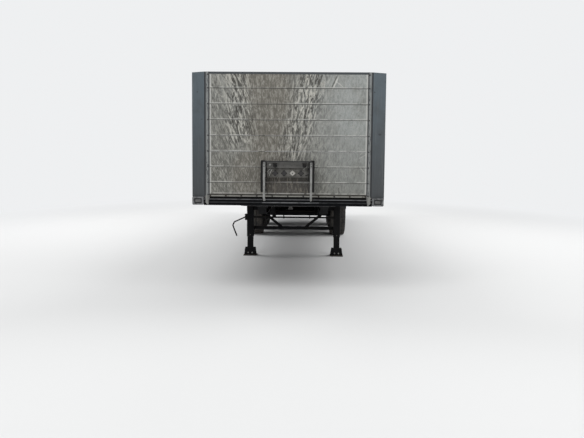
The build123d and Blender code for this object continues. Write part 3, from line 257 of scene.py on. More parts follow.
def wall_finish():
    """Weathered plank aluminium: grime fans up from the middle of the foot, the right stays clean."""
    f = Finish("wall_aluminium")
    rise = f.z - wall_low
    plank = rise / wall_pitch
    index = f.maths("FLOOR", plank)
    inside = plank - index
    height = rise / (wall_high - wall_low)
    right = f.step(f.x + 0.12 * f.noise(2), 0.12, 0.85)
    dull = f.mix(f.step(height, 0.2, 1.15), f.look.wall_low, f.look.wall)
    clean = f.mix(f.step(height, -0.25, 0.85), f.look.wall_clean_low, f.look.wall_clean)
    f.tone = f.mix(right, dull, clean)
    f.coat(0.16 * f.tag(index), (0.15, 0.152, 0.142))
    # brown zone between two bands of pale strokes
    front_side = f.facing_front()
    reach = abs(f.x + 0.27) - 0.08 * rise + 0.24 * f.noise(3, 4, 0.6)
    zone = f.higher(f.step(reach, 0.46, 0.18), 0.8 * f.spot(-0.48, 1.62, 0.34, 0.42))
    zone = zone * (0.3 + 0.7 * front_side)
    f.coat(0.85 * zone * f.look.dirt, f.look.streak)
    blotch = f.noise(3.4, 5, 0.62)
    f.coat(0.38 * f.step(blotch, 0.45, 0.7), (0.118, 0.114, 0.098))
    # strokes that fan out upwards
    fan = (f.x + 0.14) / (rise + 0.9)
    stroke = f.noise(1, 2, 0.55, 1.8, f.joined(fan * 42, 0, f.z * 4.6))
    fine = f.noise(1, 3, 0.65, 1, f.joined(fan * 92, 3, f.z * 13))
    left_band = f.step(abs(f.x + 0.58 + 0.05 * rise), 0.26, 0.06) * f.step(rise, 0.6, 0.85)
    right_band = f.step(abs(f.x - 0.31 * rise + 0.16), 0.28, 0.05)
    bands = f.higher(left_band, right_band) * f.step(rise, 0.3, 0.6)
    upper_left = 0.4 * f.step(rise, 0.9, 1.25) * f.step(f.x, -0.4, -0.7)
    share = f.higher(0.22 + 0.78 * bands, upper_left) * (1 - 0.4 * zone) * (1 - 0.7 * f.step(f.x, 0.3, 0.75))
    share = share * (0.12 + 0.88 * front_side)
    f.coat(0.9 * f.step(stroke, 0.53, 0.57) * share, (0.42, 0.41, 0.365))
    f.coat(0.8 * f.step(fine, 0.54, 0.64) * share, (0.37, 0.36, 0.325))
    f.coat(f.step(stroke, 0.47, 0.40) * share, (0.024, 0.022, 0.018))
    f.coat(0.9 * f.step(fine, 0.46, 0.35) * share, (0.03, 0.027, 0.022))
    # painted shade and dirt behind the coupling guard, with pale streaks, and painted shadow beside its tubes
    shade = f.step(abs(f.x), 0.31, 0.26) * f.step(rise, 0.36, 0.24)
    f.coat(0.88 * shade, (0.03, 0.025, 0.02))
    splash = f.step(f.noise((42, 1, 6), 3, 0.6, 1), 0.53, 0.62)
    f.coat(0.6 * splash * shade, (0.25, 0.222, 0.18))
    # painted shadow of the guard's tubes on the wall
    tube_shade = f.within(abs(f.x + 0.005), 0.272, 0.296, 0.006) * f.step(rise, 0.4, 0.36)
    f.coat(0.85 * tube_shade * f.step(rise, 0.05, 0.07), (0.012, 0.011, 0.01))
    # scrapes and stains: x, z, half width, half height, lean, strength, colour
    for *oval, strength, colour in (
        (0.67, 1.425, 0.011, 0.05, -0.1, 0.8, (0.045, 0.043, 0.038)),
        (0.613, 2.83, 0.014, 0.11, 0.47, 0.9, (0.46, 0.46, 0.43)),
        (0.5945, 2.84, 0.012, 0.11, 0.45, 0.85, (0.06, 0.06, 0.052)),
        (0.665, 2.808, 0.015, 0.055, -1.3, 0.6, (0.42, 0.42, 0.39)),
        (0.98, 1.88, 0.011, 0.045, 1.6, 0.55, (0.42, 0.42, 0.39)),
        (0.96, 1.915, 0.009, 0.03, 1.2, 0.4, (0.40, 0.40, 0.37)),
        (0.975, 1.70, 0.010, 0.05, -0.9, 0.5, (0.40, 0.40, 0.37)),
        (1.0, 1.685, 0.008, 0.04, -0.9, 0.5, (0.09, 0.09, 0.08)),
        (0.76, 2.15, 0.022, 0.010, 0.0, 0.75, (0.05, 0.05, 0.045)),
        (0.755, 2.105, 0.007, 0.04, -0.35, 0.4, (0.38, 0.38, 0.35)),
        (-0.612, 2.888, 0.008, 0.035, -1.1, 0.75, (0.05, 0.05, 0.045)),
        (-0.69, 2.27, 0.007, 0.09, -0.45, 0.5, (0.07, 0.065, 0.055)),
        (-0.28, 2.33, 0.035, 0.02, 0.0, 0.35, (0.06, 0.055, 0.045)),
    ):
        f.coat(strength * f.spot(*oval), colour)
    f.coat(0.45 * f.step(f.noise(85, 3, 0.7), 0.54, 0.66), (0.075, 0.07, 0.06))
    mottle = f.noise((44, 1, 15), 3, 0.65, 0.7)
    grain = (0.85 - 0.4 * right) * (0.3 + 0.7 * front_side) * (1 - 0.65 * shade)
    f.coat(0.5 * f.step(mottle, 0.51, 0.62) * grain, (0.05, 0.047, 0.039))
    f.coat(0.4 * f.step(mottle, 0.49, 0.38) * grain, (0.38, 0.375, 0.34))
    # pale band over each joint and pale lines at the sides, dark joints
    broken = f.step(f.noise((14, 1, 5), 3, 0.6), 0.36, 0.5)
    lip = f.within(inside, 0.03, 0.075, 0.025) * broken * (1 - 0.72 * zone)
    f.coat(0.6 * lip, (0.38, 0.38, 0.355))
    f.coat(0.75 * f.within(abs(f.x), panel_half - 0.018, panel_half, 0.004), (0.43, 0.43, 0.405))
    edge = f.lower(inside + 0.012, 1 - inside)
    f.coat(0.72 * f.step(edge + 0.015 * f.noise(9), 0.042, 0.02), (0.045, 0.043, 0.038))
    # painted shadow line over the foot strip, and a pale line above it
    f.coat(0.7 * f.within(rise, 0.04, 0.055, 0.003), (0.035, 0.033, 0.029))
    f.coat(0.75 * f.within(rise, 0.060, 0.070, 0.003) * broken, (0.36, 0.355, 0.33))
    brushed = f.noise((3, 3, 260), 2, 0.5)
    relief = brushed * 0.04 + f.noise(3.2, 2, 0.4) + stroke * 0.05
    f.done(0.52 + 0.2 * f.step(blotch, 0.4, 0.7) + 0.08 * brushed, relief, 0.006, metal=0.15)


def foot_strip_finish():
    """Grey strip, muddy between its bolts, with a painted shadow line along its top, a painted highlight on its
    pale lower lip and painted shade below that.
    """
    f = Finish("foot_strip")
    drop = high_box["wall_foot"].z - f.z
    grime = f.noise(16, 4, 0.65)
    f.tone = f.mix(f.step(grime, 0.38, 0.66), (0.155, 0.153, 0.14), (0.062, 0.058, 0.05))
    # painted shadow line along the top edge
    f.coat(0.8 * f.step(drop, 0.017, 0.014), (0.03, 0.028, 0.025))
    # painted highlight on the pale lip
    lip = f.within(drop, 0.018, 0.030, 0.002) * f.step(f.noise(11), 0.30, 0.44)
    f.coat(0.85 * lip, (0.245, 0.243, 0.222))
    # painted shade over the recessed lower part
    f.coat(f.step(drop, 0.031, 0.033), (0.002, 0.002, 0.002))
    f.done(0.75, grime, 0.001, 0.1)


def board_finish():
    """Drop-side aluminium: brighter than the wall, dusty at the foot, rubbed along the planks."""
    f = Finish("board_aluminium")
    height = f.z - deck_top
    plank = f.maths("FLOOR", height / BOARD_PITCH)
    f.tone = f.mix(0.3 * f.tag(plank), f.look.board, (0.27, 0.275, 0.26))
    blotch = f.noise(1.8, 5, 0.6)
    f.coat(0.4 * f.step(blotch, 0.45, 0.7), (0.22, 0.205, 0.175))
    drip = f.noise((16, 16, 1.1), 4, 0.65, 0.6)
    f.coat(0.5 * f.step(drip, 0.56, 0.74) * f.look.dirt, f.look.streak)
    f.coat(0.35 * f.step(f.noise((34, 34, 2), 4, 0.7, 0.6), 0.6, 0.72), (0.5, 0.5, 0.47))
    scrape = f.noise((2.2, 2.2, 60), 4, 0.7)
    f.coat(0.3 * f.step(scrape, 0.62, 0.7), (0.12, 0.115, 0.10))
    foot = f.step(height, 0.22, 0) * f.step(f.noise(7), 0.35, 0.6)
    f.coat(0.55 * foot, (0.13, 0.115, 0.095))
    inside = height / BOARD_PITCH - plank
    f.coat(0.5 * f.step(f.lower(inside, 1 - inside), 0.05, 0.012), (0.07, 0.066, 0.058))
    brushed = f.noise((3, 3, 240), 2, 0.5)
    relief = brushed * 0.05 + f.noise(2.2, 2)
    f.done(0.42 + 0.22 * blotch + 0.06 * brushed, relief, 0.005, metal=0.3)


def chassis_finish():
    """Dark painted steel with dust on its upper faces, grime, and rust where the paint is broken."""
    f = Finish("chassis_paint")
    paler = [1.7 * part for part in f.look.chassis]
    f.tone = f.mix(0.5 * f.step(f.noise(5, 5, 0.6), 0.4, 0.7), f.look.chassis, paler)
    settled = f.facing_up() * 0.75 + 0.06 * f.step(f.noise(2.1, 4, 0.6), 0.42, 0.75)
    f.coat(0.6 * settled * f.look.dirt, f.look.dust)
    run = f.noise((22, 22, 1.6), 4, 0.65)
    f.coat(0.07 * f.step(run, 0.58, 0.76) * f.look.dirt, f.look.streak)
    broken = f.step(f.noise(34, 4, 0.7) + 0.18 * f.noise(3), 0.75, 0.79)
    f.coat(0.42 * broken, f.look.rust)
    relief = f.noise(48) * 0.3 + broken * 0.8 + f.noise(4)
    f.done(0.55 + 0.2 * settled + 0.15 * broken, relief, 0.0015, 0.1)


def front_beam_finish():
    """Near-black beam whose lips carry a grey painted highlight, the lower one most of all in the middle."""
    f = Finish("front_beam")
    drop = high_box["front_beam"].z - f.z
    face = f.front_face(low_box["front_beam"].y, 0.004)
    # noise that breaks up the painted highlight on the lips
    worn = f.step(f.noise((16, 1, 60), 4, 0.6), 0.3, 0.55)
    upper = f.within(drop, 0.012, 0.022, 0.003)
    lower = f.within(drop, 0.052, 0.062, 0.003) * (0.22 + 0.78 * f.within(f.x, -0.33, 0.40, 0.02))
    lip_highlight = f.higher(upper * 0.7, lower) * face * (0.3 + 0.7 * worn)
    f.tone = f.mix(lip_highlight, (0.003, 0.0036, 0.0046), (0.14, 0.142, 0.146))
    grime = f.noise(20, 4, 0.6)
    f.coat(0.12 * f.step(grime, 0.45, 0.7), (0.04, 0.038, 0.034))
    f.done(0.75, grime, 0.0015, 0.1)


def rubbing_plate_finish():
    """Coupling plate, polished in rings about the kingpin and smeared with black grease."""
    f = Finish("rubbing_plate")
    low = low_box["rubbing_plate"].z
    across = f.x - kingpin.x
    along = f.y - kingpin.y
    radius = f.away(across, along)
    face = f.step(f.z, low + 0.003, low + 0.001)
    rings = f.noise(1, 3, 0.65, 0.5, f.joined(radius * 34, 1.6 * across, 1.6 * along))
    patch = f.noise(5, 4, 0.6)
    worn = f.within(radius, 0.15, 0.38, 0.12) * (0.35 + 0.65 * f.step(rings, 0.38, 0.6))
    polished = worn * f.step(patch, 0.34, 0.56) * face
    grease = f.step(radius + 0.25 * patch, 0.62, 0.2) * face
    f.tone = f.mix(0.5 * f.step(patch, 0.4, 0.7), f.look.chassis, (0.03, 0.021, 0.015))
    f.coat(0.85 * polished, (0.115, 0.11, 0.104))
    f.coat(0.75 * grease * f.step(f.noise(11, 4, 0.65), 0.42, 0.62), (0.006, 0.005, 0.004))
    roughness = 0.66 - 0.26 * polished - 0.2 * grease
    f.done(roughness, rings * polished * 0.4 + patch, 0.0008, metal=0.6 * polished)


def post_finish():
    """Grey corner posts: bluer at the top, duller at the foot, with a paler flange and tip."""
    f = Finish("post_paint")
    across = abs(f.x)
    f.tone = f.mix(f.step(f.z, wall_low - 0.1, wall_high), f.look.post_low, f.look.post)
    blotch = f.noise(3.5, 5, 0.6)
    f.coat(0.5 * f.step(blotch, 0.45, 0.75), (0.045, 0.048, 0.050))
    run = f.noise((44, 44, 1.5), 5, 0.65, 0.4)
    f.coat(0.45 * f.step(run, 0.56, 0.72) * f.look.dirt, (0.15, 0.152, 0.15))
    f.coat(0.4 * f.step(run, 0.42, 0.32), (0.025, 0.027, 0.03))
    # flange between two dark lines of painted shade, its tip and the cap
    flange = f.within(across, panel_half, post_edge, 0.001) * f.front_face(wall_front, 0.0035)
    worn = f.noise((70, 70, 13), 4, 0.65, 0.8)
    f.coat(0.9 * flange, f.mix(f.step(worn, 0.37, 0.46), (0.035, 0.038, 0.04), (0.185, 0.192, 0.188)))
    # painted shade: the shadow gap beside the planks and the dark of the groove at the post's edge
    gap_shadow_line = f.within(across, panel_half, panel_half + 0.016, 0.001)
    groove_shade_line = f.within(across, post_edge - 0.010, post_edge + 0.012, 0.001)
    f.coat(0.85 * f.higher(gap_shadow_line, groove_shade_line), (0.018, 0.019, 0.021))
    tip = flange * f.step(f.z, wall_low + 0.04, wall_low + 0.03)
    f.coat(0.85 * tip, f.mix(f.step(worn, 0.4, 0.6), (0.09, 0.09, 0.085), (0.2, 0.2, 0.185)))
    cap = f.step(across, panel_half + 0.001, panel_half) * f.step(f.z, wall_high - 0.03, wall_high - 0.028)
    f.coat(0.85 * cap * f.facing_front(), (0.03, 0.033, 0.036))
    # stains: x, z, half width, half height
    for oval in (
        (-1.2, 2.705, 0.012, 0.012),
        (1.118, 2.71, 0.012, 0.012),
        (1.20, 2.168, 0.026, 0.016),
        (-1.135, 2.35, 0.02, 0.006),
    ):
        f.coat(0.75 * f.spot(*oval), (0.022, 0.023, 0.025))
    chip = f.step(f.noise(40, 4, 0.7), 0.70, 0.74)
    f.coat(0.6 * chip, f.look.rust)
    relief = f.noise(60) * 0.25 + f.noise(5) + chip * 0.6
    f.done(0.52 + 0.2 * blotch, relief, 0.0015, 0.35)


def lamp_box_finish():
    """Corner lamp boxes: a scuffed pale rim round a recess painted black as painted shade."""
    f = Finish("lamp_box")
    grime = f.noise(26, 4, 0.65)
    rim = f.mix(f.step(grime, 0.4, 0.65), (0.15, 0.152, 0.155), (0.06, 0.061, 0.062))
    # every face but the front is painted near-black, the painted shade of the recess
    f.tone = f.mix(f.front_face(low_box["corner_boxes"].y, 0.003), (0.004, 0.004, 0.0045), rim)
    f.done(0.7, grime, 0.0012, 0.12)


def guard_finish():
    """Grey zinc tubes of the coupling guard, with its grimy plates darkened by painted shadow beside the tubes,
    and black wings.
    """
    f = Finish("guard_zinc")
    front = low_box["coupling_guard"].y
    across = abs(f.x)
    behind_tubes = f.step(f.y, front + 0.031, front + 0.034)
    outer = f.step(across, 0.3185, 0.3195)
    above = f.step(f.z, wall_low + 0.07, wall_low + 0.09)
    grime = f.noise(15, 4, 0.65)
    f.tone = f.mix(0.6 * f.step(grime, 0.38, 0.66), (0.26, 0.262, 0.255), (0.13, 0.126, 0.115))
    f.coat(0.9 * f.step(f.z, 1.789, 1.794), (0.007, 0.007, 0.008))
    # plates behind the tubes: grimy, paler at the coupling heads, with a black band of painted shadow towards the
    # wings
    plates = f.higher(behind_tubes * f.step(across, 0.289, 0.285), outer) * above
    plate_grime_and_shadow = f.mix(f.step(grime, 0.36, 0.66), (0.125, 0.121, 0.112), (0.07, 0.067, 0.06))
    plate_grime_and_shadow = f.mix(0.7 * f.step(f.z, 1.72, 1.725), plate_grime_and_shadow, (0.085, 0.084, 0.08))
    # painted shadow of the tubes: a near-black band towards the wings
    plate_grime_and_shadow = f.mix(0.9 * f.step(across, 0.266, 0.274), plate_grime_and_shadow, (0.006, 0.006, 0.006))
    f.coat(plates, plate_grime_and_shadow)
    wing = behind_tubes * f.step(across, 0.299, 0.301) * above
    f.coat(f.higher(wing, outer), (0.005, 0.005, 0.005))
    f.done(0.6 + 0.2 * grime, f.noise(70) * 0.5 + grime, 0.001, 0.18)


def rubber_finish(name, colour, dust, ribs=0.0):
    """Dusty rubber; ribs gives the pitch of moulded rings up the piece."""
    f = Finish(name)
    settled = f.step(f.noise(6, 5, 0.65), 0.38, 0.75)
    f.tone = f.mix(dust * settled * f.look.dirt, colour, f.look.dust)
    f.coat(dust * 0.6 * f.facing_up(), f.look.dust)
    surface = f.noise(90) * 0.4 + f.noise(9)
    if ribs:
        surface = surface + 1.4 * f.wave(f.z, ribs)
    f.done(0.72 + 0.2 * settled, surface, 0.0012, 0.3)


def tyre_finish(name, centre):
    """Tyre rubber: dusty tread, blacker sidewalls with scuffs that run round the wheel."""
    f = Finish(name)
    from_y = f.y - centre.y
    from_z = f.z - centre.z
    radius = f.away(from_y, from_z)
    turn = f.maths("ARCTAN2", from_z, from_y)
    tread = f.step(radius, 0.505, 0.52)
    settled = f.step(f.noise(7, 5, 0.65), 0.36, 0.72)
    f.tone = f.mix(0.35 * settled * f.look.dirt, (0.02, 0.02, 0.021), f.look.dust)
    ring = f.noise(1, 3, 0.6, 0, f.joined(radius * 90, turn * 3, 0))
    f.coat(0.3 * f.step(ring, 0.5, 0.7) * (1 - tread), (0.07, 0.064, 0.055))
    f.coat(0.45 * tread * f.step(f.noise(24, 4), 0.4, 0.65), (0.085, 0.076, 0.064))
    f.coat(0.35 * f.step(f.z, 0.16, 0.02), (0.13, 0.115, 0.095))
    relief = f.noise(120, 2) * 0.4 + ring * 0.5
    f.done(0.72 + 0.2 * settled, relief, 0.0012, 0.3)


def wheel_finish():
    """Silver wheel paint with brake dust, brown splashes and rust at the nuts."""
    f = Finish("wheel_paint")
    grime = f.noise(9, 5, 0.65)
    f.tone = f.mix(0.6 * f.step(grime, 0.36, 0.7), (0.34, 0.345, 0.34), (0.13, 0.115, 0.095))
    rust = f.step(f.noise(42, 4, 0.7), 0.6, 0.68)
    f.coat(0.75 * rust, f.look.rust)
    f.coat(f.step(abs(f.x), 0.98, 0.95), (0.03, 0.026, 0.022))
    f.done(0.45 + 0.3 * grime, f.noise(70) * 0.4 + rust * 0.7, 0.001, metal=0.3)


def deck_finish():
    """Film-faced plywood, scuffed to the wood along the middle, dark and damp underneath."""
    f = Finish("deck_plywood")
    wear = f.step(f.noise((9, 1.2, 1), 5, 0.7) + 0.1 * f.noise(0.8), 0.5, 0.72)
    grain = f.noise((46, 1.6, 4), 4, 0.6)
    film = f.mix(f.step(grain, 0.3, 0.8), (0.052, 0.034, 0.024), (0.085, 0.058, 0.042))
    wood = f.mix(f.step(grain, 0.3, 0.7), (0.20, 0.135, 0.085), (0.33, 0.25, 0.175))
    f.tone = f.mix(0.75 * wear, film, wood)
    f.coat(0.45 * f.step(f.noise(1.6, 5, 0.6), 0.5, 0.75), (0.18, 0.155, 0.125))
    f.coat(f.step(f.z, deck_top - 0.003, deck_top - 0.006), (0.02, 0.015, 0.012))
    f.done(0.6 + 0.3 * wear, grain + f.noise(120) * 0.4, 0.001, 0.35)


def plastic_finish(name, colour, roughness):
    """Moulded plastic with dust in its texture."""
    f = Finish(name)
    dust = f.step(f.noise(11, 5, 0.65), 0.42, 0.75)
    f.tone = f.mix(0.22 * dust + 0.3 * f.facing_up(), colour, f.look.dust)
    f.done(roughness + 0.2 * dust, f.noise(220, 2), 0.0004, 0.3)


def socket_finish():
    """Dark sockets and coupling heads, one socket with a pale lid."""
    f = Finish("coupling_plastic")
    low = low_box["sockets"]
    middle = (low.z + high_box["sockets"].z) / 2
    dust = f.step(f.noise(30, 4, 0.65), 0.4, 0.7)
    lower = f.step(f.z, 1.715, 1.705)
    diamond = abs(f.x - 0.063) + abs(f.z - middle)
    pale = f.step(diamond, 0.040, 0.037) * f.step(diamond, 0.008, 0.013) * lower
    lid = f.step(f.y, low.y + 0.0065, low.y + 0.0055)
    f.tone = f.mix(lid * lower, (0.003, 0.003, 0.0035), (0.03, 0.029, 0.03))
    f.coat(pale, (0.34, 0.33, 0.305))
    f.coat(0.2 * dust * lid, (0.075, 0.07, 0.06))
    f.done(0.6 + 0.2 * dust, dust, 0.0003, 0.15)


def front_lamp_finish():
    """Black lamp base with a pale lens that has fine upright ribs."""
    f = Finish("lamp_clear")
    front = low_box["front_lamps"].y
    lens = f.step(f.y, front + 0.004, front + 0.003)
    dirt = f.step(f.noise(45, 4), 0.42, 0.68)
    f.tone = f.mix(0.6 * dirt, (0.12, 0.12, 0.118), (0.04, 0.039, 0.036))
    f.coat(1 - lens, (0.010, 0.010, 0.011))
    f.done(0.35 + 0.2 * dirt, f.wave(f.x, 0.004) * lens, 0.0006, 0.3)


def tail_lamp_finish():
    """Lamp cluster: amber outside, red, then clear on the inside."""
    f = Finish("lamp_red")
    width = 0.395
    back = low_box["tail_lamps"].y
    share = (abs(f.x) - (high_box["tail_lamps"].x - width)) / width
    f.tone = f.mix(f.step(share, 0.24, 0.245), (0.5, 0.5, 0.48), (0.28, 0.012, 0.01))
    f.coat(f.step(share, 0.74, 0.745), (0.45, 0.13, 0.01))
    part = share * 4 - f.maths("FLOOR", share * 4)
    f.coat(f.step(f.lower(part, 1 - part), 0.04, 0.02), (0.02, 0.02, 0.02))
    body = f.step(f.y, back + 0.03, back + 0.028)
    f.coat(body, (0.018, 0.018, 0.018))
    f.coat(0.25 * f.step(f.noise(22, 4), 0.45, 0.7), f.look.dust)
    grid = f.wave(f.x, 0.006) * f.wave(f.z, 0.006)
    f.done(0.25, grid * (1 - body), 0.0006, coat=0.6)


def lens_finish(name, colour):
    """Small reflector or marker lens with a moulded grid and road dirt."""
    f = Finish(name)
    dirt = f.step(f.noise(30, 4), 0.4, 0.7)
    f.tone = f.mix(0.35 * dirt, colour, f.look.dust)
    grid = f.wave(f.y, 0.005) * f.wave(f.z, 0.005)
    f.done(0.28 + 0.3 * dirt, grid, 0.0005, coat=0.4)


def metal_finish(name, colour, dull, metallic, roughness):
    """Bare metal with dull patches."""
    f = Finish(name)
    patch = f.step(f.noise(8, 5, 0.6), 0.4, 0.7)
    f.tone = f.mix(0.7 * patch, colour, dull)
    f.done(roughness + 0.25 * patch, f.noise(80), 0.0006, metal=metallic)


FINISHES = {}
NODE_FINISHES = {
    "wall_foot": "foot_strip",
    "front_beam": "front_beam",
    "corner_boxes": "lamp_box",
    "rubbing_plate": "rubbing_plate",
}


def make_finishes():
    """Every material by the record's slot name or its own, but for the tyres'."""
    for make in (
        wall_finish, foot_strip_finish, board_finish, chassis_finish, front_beam_finish, rubbing_plate_finish,
        post_finish, lamp_box_finish, guard_finish, wheel_finish, deck_finish, socket_finish,
        front_lamp_finish, tail_lamp_finish,
    ):
        make()
    lens_finish("lens_amber", (0.5, 0.16, 0.012))
    lens_finish("lens_red", (0.30, 0.012, 0.01))
    rubber_finish("tyre_rubber", (0.02, 0.02, 0.021), 0.4)
    rubber_finish("flap_rubber", (0.02, 0.02, 0.02), 0.45)
    rubber_finish("bellows_rubber", (0.012, 0.012, 0.012), 0.3, 0.018)
    plastic_finish("guard_plastic", (0.014, 0.014, 0.014), 0.6)
    plastic_finish("plate_white", (0.52, 0.52, 0.49), 0.45)
    for metal in (
        ("tank_aluminium", (0.30, 0.31, 0.31), (0.12, 0.113, 0.10), 0.6, 0.4),
        ("pin_steel", (0.085, 0.08, 0.076), (0.014, 0.012, 0.010), 0.5, 0.35),
        ("bolt_zinc", (0.30, 0.30, 0.285), (0.10, 0.08, 0.062), 0.3, 0.5),
        ("bolt_dark", (0.016, 0.016, 0.016), (0.04, 0.03, 0.022), 0.2, 0.6),
        ("fitting_pale", (0.27, 0.27, 0.255), (0.14, 0.13, 0.115), 0.1, 0.6),
    ):
        metal_finish(*metal)


def add_object(name, data):
    made = bpy.data.objects.new(name, data)
    bpy.context.scene.collection.objects.link(made)
    return made


def add_mesh(name, bm, finish):
    """Object whose mesh is a bmesh's, with one finish."""
    mesh = bpy.data.meshes.new(name)
    bm.to_mesh(mesh)
    bm.free()
    mesh.materials.append(FINISHES[finish])
    return add_object(name, mesh)


def piece(name, bm, finish, body="chassis"):
    """Turns a bmesh into a piece that rides on a body."""
    bmesh.ops.recalc_face_normals(bm, faces=bm.faces[:])
    made = add_mesh(name, bm, finish)
    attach(made, body)
    return made


def facing(direction):
    """Rotation that turns +Z to a direction."""
    return Vector(direction).to_track_quat("Z", "Y").to_matrix().to_4x4()


def edges_of(made):
    """The edges at the vertices that an operator made."""
    return list(dict.fromkeys(edge for vert in made["verts"] for edge in vert.link_edges))


def bevel(bm, edges, width, segments):
    bmesh.ops.bevel(
        bm, geom=edges, offset=width, segments=segments, profile=0.5, affect="EDGES", material=-1
    )


def spin(bm, geometry, centre, axis, steps):
    """Full turn about an axis, closed where it ends."""
    bmesh.ops.spin(
        bm, geom=geometry, cent=centre, axis=axis, angle=2 * pi, steps=steps, use_merge=True
    )


def add_stud(bm, place, direction, radius, height, sides=6, crown=0.25, tip=1.0):
    """A bolt head or peg whose outer edge is bevelled; tip is its outer radius as a share."""
    turned = Matrix.Translation(place) @ facing(direction) @ Matrix.Translation((0, 0, height / 2))
    made = bmesh.ops.create_cone(
        bm, cap_ends=True, segments=sides, radius1=radius, radius2=radius * tip, depth=height, matrix=turned
    )
    if crown:
        foot = Vector(place)
        away = Vector(direction).normalized()
        top = [
            edge for edge in edges_of(made)
            if all((vert.co - foot).dot(away) > height * 0.9 for vert in edge.verts)
        ]
        bevel(bm, top, radius * crown, 1)


def add_studs(bm, across, along, up, *form):
    """Like studs at every mix of places; form is the rest of what add_stud takes."""
    places = [value if isinstance(value, (list, tuple)) else [value] for value in (across, along, up)]
    for place in product(*places):
        add_stud(bm, place, *form)


def add_nut(bm, place, direction, radius, height):
    """A washer, a hexagon nut and the end of its stud."""
    away = Vector(direction).normalized()
    place = Vector(place)
    add_stud(bm, place, direction, radius * 1.35, height * 0.2, 12, 0)
    add_stud(bm, place + away * height * 0.2, direction, radius, height * 0.8, 6, 0.18)
    add_stud(bm, place + away * height, direction, radius * 0.55, height * 0.35, 8, 0.2)


def add_plate(bm, centre, size, width, segments=2):
    """A box with bevelled edges."""
    made = bmesh.ops.create_cube(bm, size=1, matrix=Matrix.Translation(centre) @ Matrix.Diagonal((*size, 1)))
    bevel(bm, edges_of(made), width, segments)


def add_rod(bm, points, radius, sides=8):
    """A bent rod: a circle extruded from point to point, closed at both ends."""
    points = [Vector(point) for point in points]
    first = points[1] - points[0]
    start = Matrix.Translation(points[0]) @ facing(first)
    ring = bmesh.ops.create_circle(bm, cap_ends=True, segments=sides, radius=radius, matrix=start)
    face = ring["verts"][0].link_faces[0]
    heading = first.normalized()
    for number in range(1, len(points)):
        here = points[number]
        before = (here - points[number - 1]).normalized()
        after = (points[number + 1] - here).normalized() if number + 1 < len(points) else before
        wanted = (before + after).normalized()
        grown = bmesh.ops.extrude_face_region(bm, geom=[face])["geom"]
        if number > 1:
            bm.faces.remove(face)
        verts = [item for item in grown if isinstance(item, bmesh.types.BMVert)]
        face = [item for item in grown if isinstance(item, bmesh.types.BMFace)][0]
        bmesh.ops.translate(bm, verts=verts, vec=here - points[number - 1])
        turn = heading.rotation_difference(wanted).to_matrix()
        bmesh.ops.rotate(bm, verts=verts, cent=here, matrix=turn)
        heading = wanted


def add_ring(bm, centre, direction, radius, wire, steps=16, sides=6):
    """A closed ring of round wire."""
    across = facing(direction) @ Vector((1, 0, 0))
    start = Matrix.Translation(Vector(centre) + across * radius) @ facing(Vector(direction).cross(across))
    made = bmesh.ops.create_circle(bm, cap_ends=False, segments=sides, radius=wire, matrix=start)
    spin(bm, made["verts"] + edges_of(made), centre, direction, steps)


def swatch(name, what, default):
    """Setting that holds a colour."""
    description = f"Colour of {what}"
    return bpy.props.FloatVectorProperty(
        name=name, description=description, subtype="COLOR", min=0, max=1, default=default
    )


def metres(name, description, default):
    """Setting that holds a length."""
    return bpy.props.FloatProperty(name=name, description=description, unit="LENGTH", default=default)


class TrailerLook(bpy.types.PropertyGroup):
    wall: swatch("Wall, upper left", "the dulled planks at the top", (0.178, 0.182, 0.168))
    wall_low: swatch("Wall, lower left", "the dulled planks at the foot", (0.124, 0.123, 0.108))
    wall_clean: swatch("Wall, upper right", "the cleaner planks at the top", (0.272, 0.287, 0.278))
    wall_clean_low: swatch("Wall, lower right", "the cleaner planks at the foot", (0.14, 0.144, 0.131))
    board: swatch("Boards", "the drop sides", (0.40, 0.41, 0.39))
    post: swatch("Posts, upper", "the corner posts at the top", (0.076, 0.096, 0.109))
    post_low: swatch("Posts, lower", "the corner posts at the foot", (0.046, 0.05, 0.053))
    chassis: swatch("Chassis", "the frame and running gear", (0.0048, 0.0052, 0.006))
    dust: swatch("Dust", "road dust", (0.15, 0.132, 0.108))
    streak: swatch("Streaks", "the brown dirt streaks", (0.112, 0.101, 0.081))
    rust: swatch("Rust", "rust spots", (0.10, 0.042, 0.02))
    dirt: bpy.props.FloatProperty(
        name="Dirt", description="How much dirt and dust lies on the trailer", subtype="FACTOR",
        min=0, max=1, default=1.0,
    )


class TrailerSizes(bpy.types.PropertyGroup):
    bolt_radius: metres("Bolt radius", "Radius of the foot strip's bolts", 0.0125)
    bolt_pitch: metres("Bolt pitch", "Spacing of the bolts along the foot strip", 0.204)
    nut_circle: metres("Nut circle", "Radius of the circle of wheel nuts", 0.1675)
    tread_depth: metres("Tread depth", "Depth of the grooves in the tyres", 0.012)
    member_first: metres("First crossmember", "Distance of the first crossmember from the headboard", 0.765)
    member_pitch: metres("Crossmember pitch", "Spacing of the crossmembers", 0.47)
    camera_across: metres("Camera across", "Camera place to the trailer's left", 0.2516)
    camera_height: metres("Camera height", "Camera height above the ground", 1.7837)
    camera_distance: metres("Camera distance", "Camera distance from the headboard", 8.6651)
    camera_focal: bpy.props.FloatProperty(
        name="Focal length", description="Focal length as pixels of a picture 584 wide", default=658.5
    )


def sizes():
    return bpy.context.scene.trailer_sizes


class TRAILER_OT_materials(bpy.types.Operator):
    """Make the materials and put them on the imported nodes"""

    bl_idname = "trailer.materials"
    bl_label = "Materials"

    def execute(self, context):
        make_finishes()
        for row in frame["record"]["subparts"]:
            materials = nodes[row["node"]].data.materials
            materials.clear()
            materials.append(FINISHES[NODE_FINISHES.get(row["node"], row["material_slot"])])
        return {"FINISHED"}


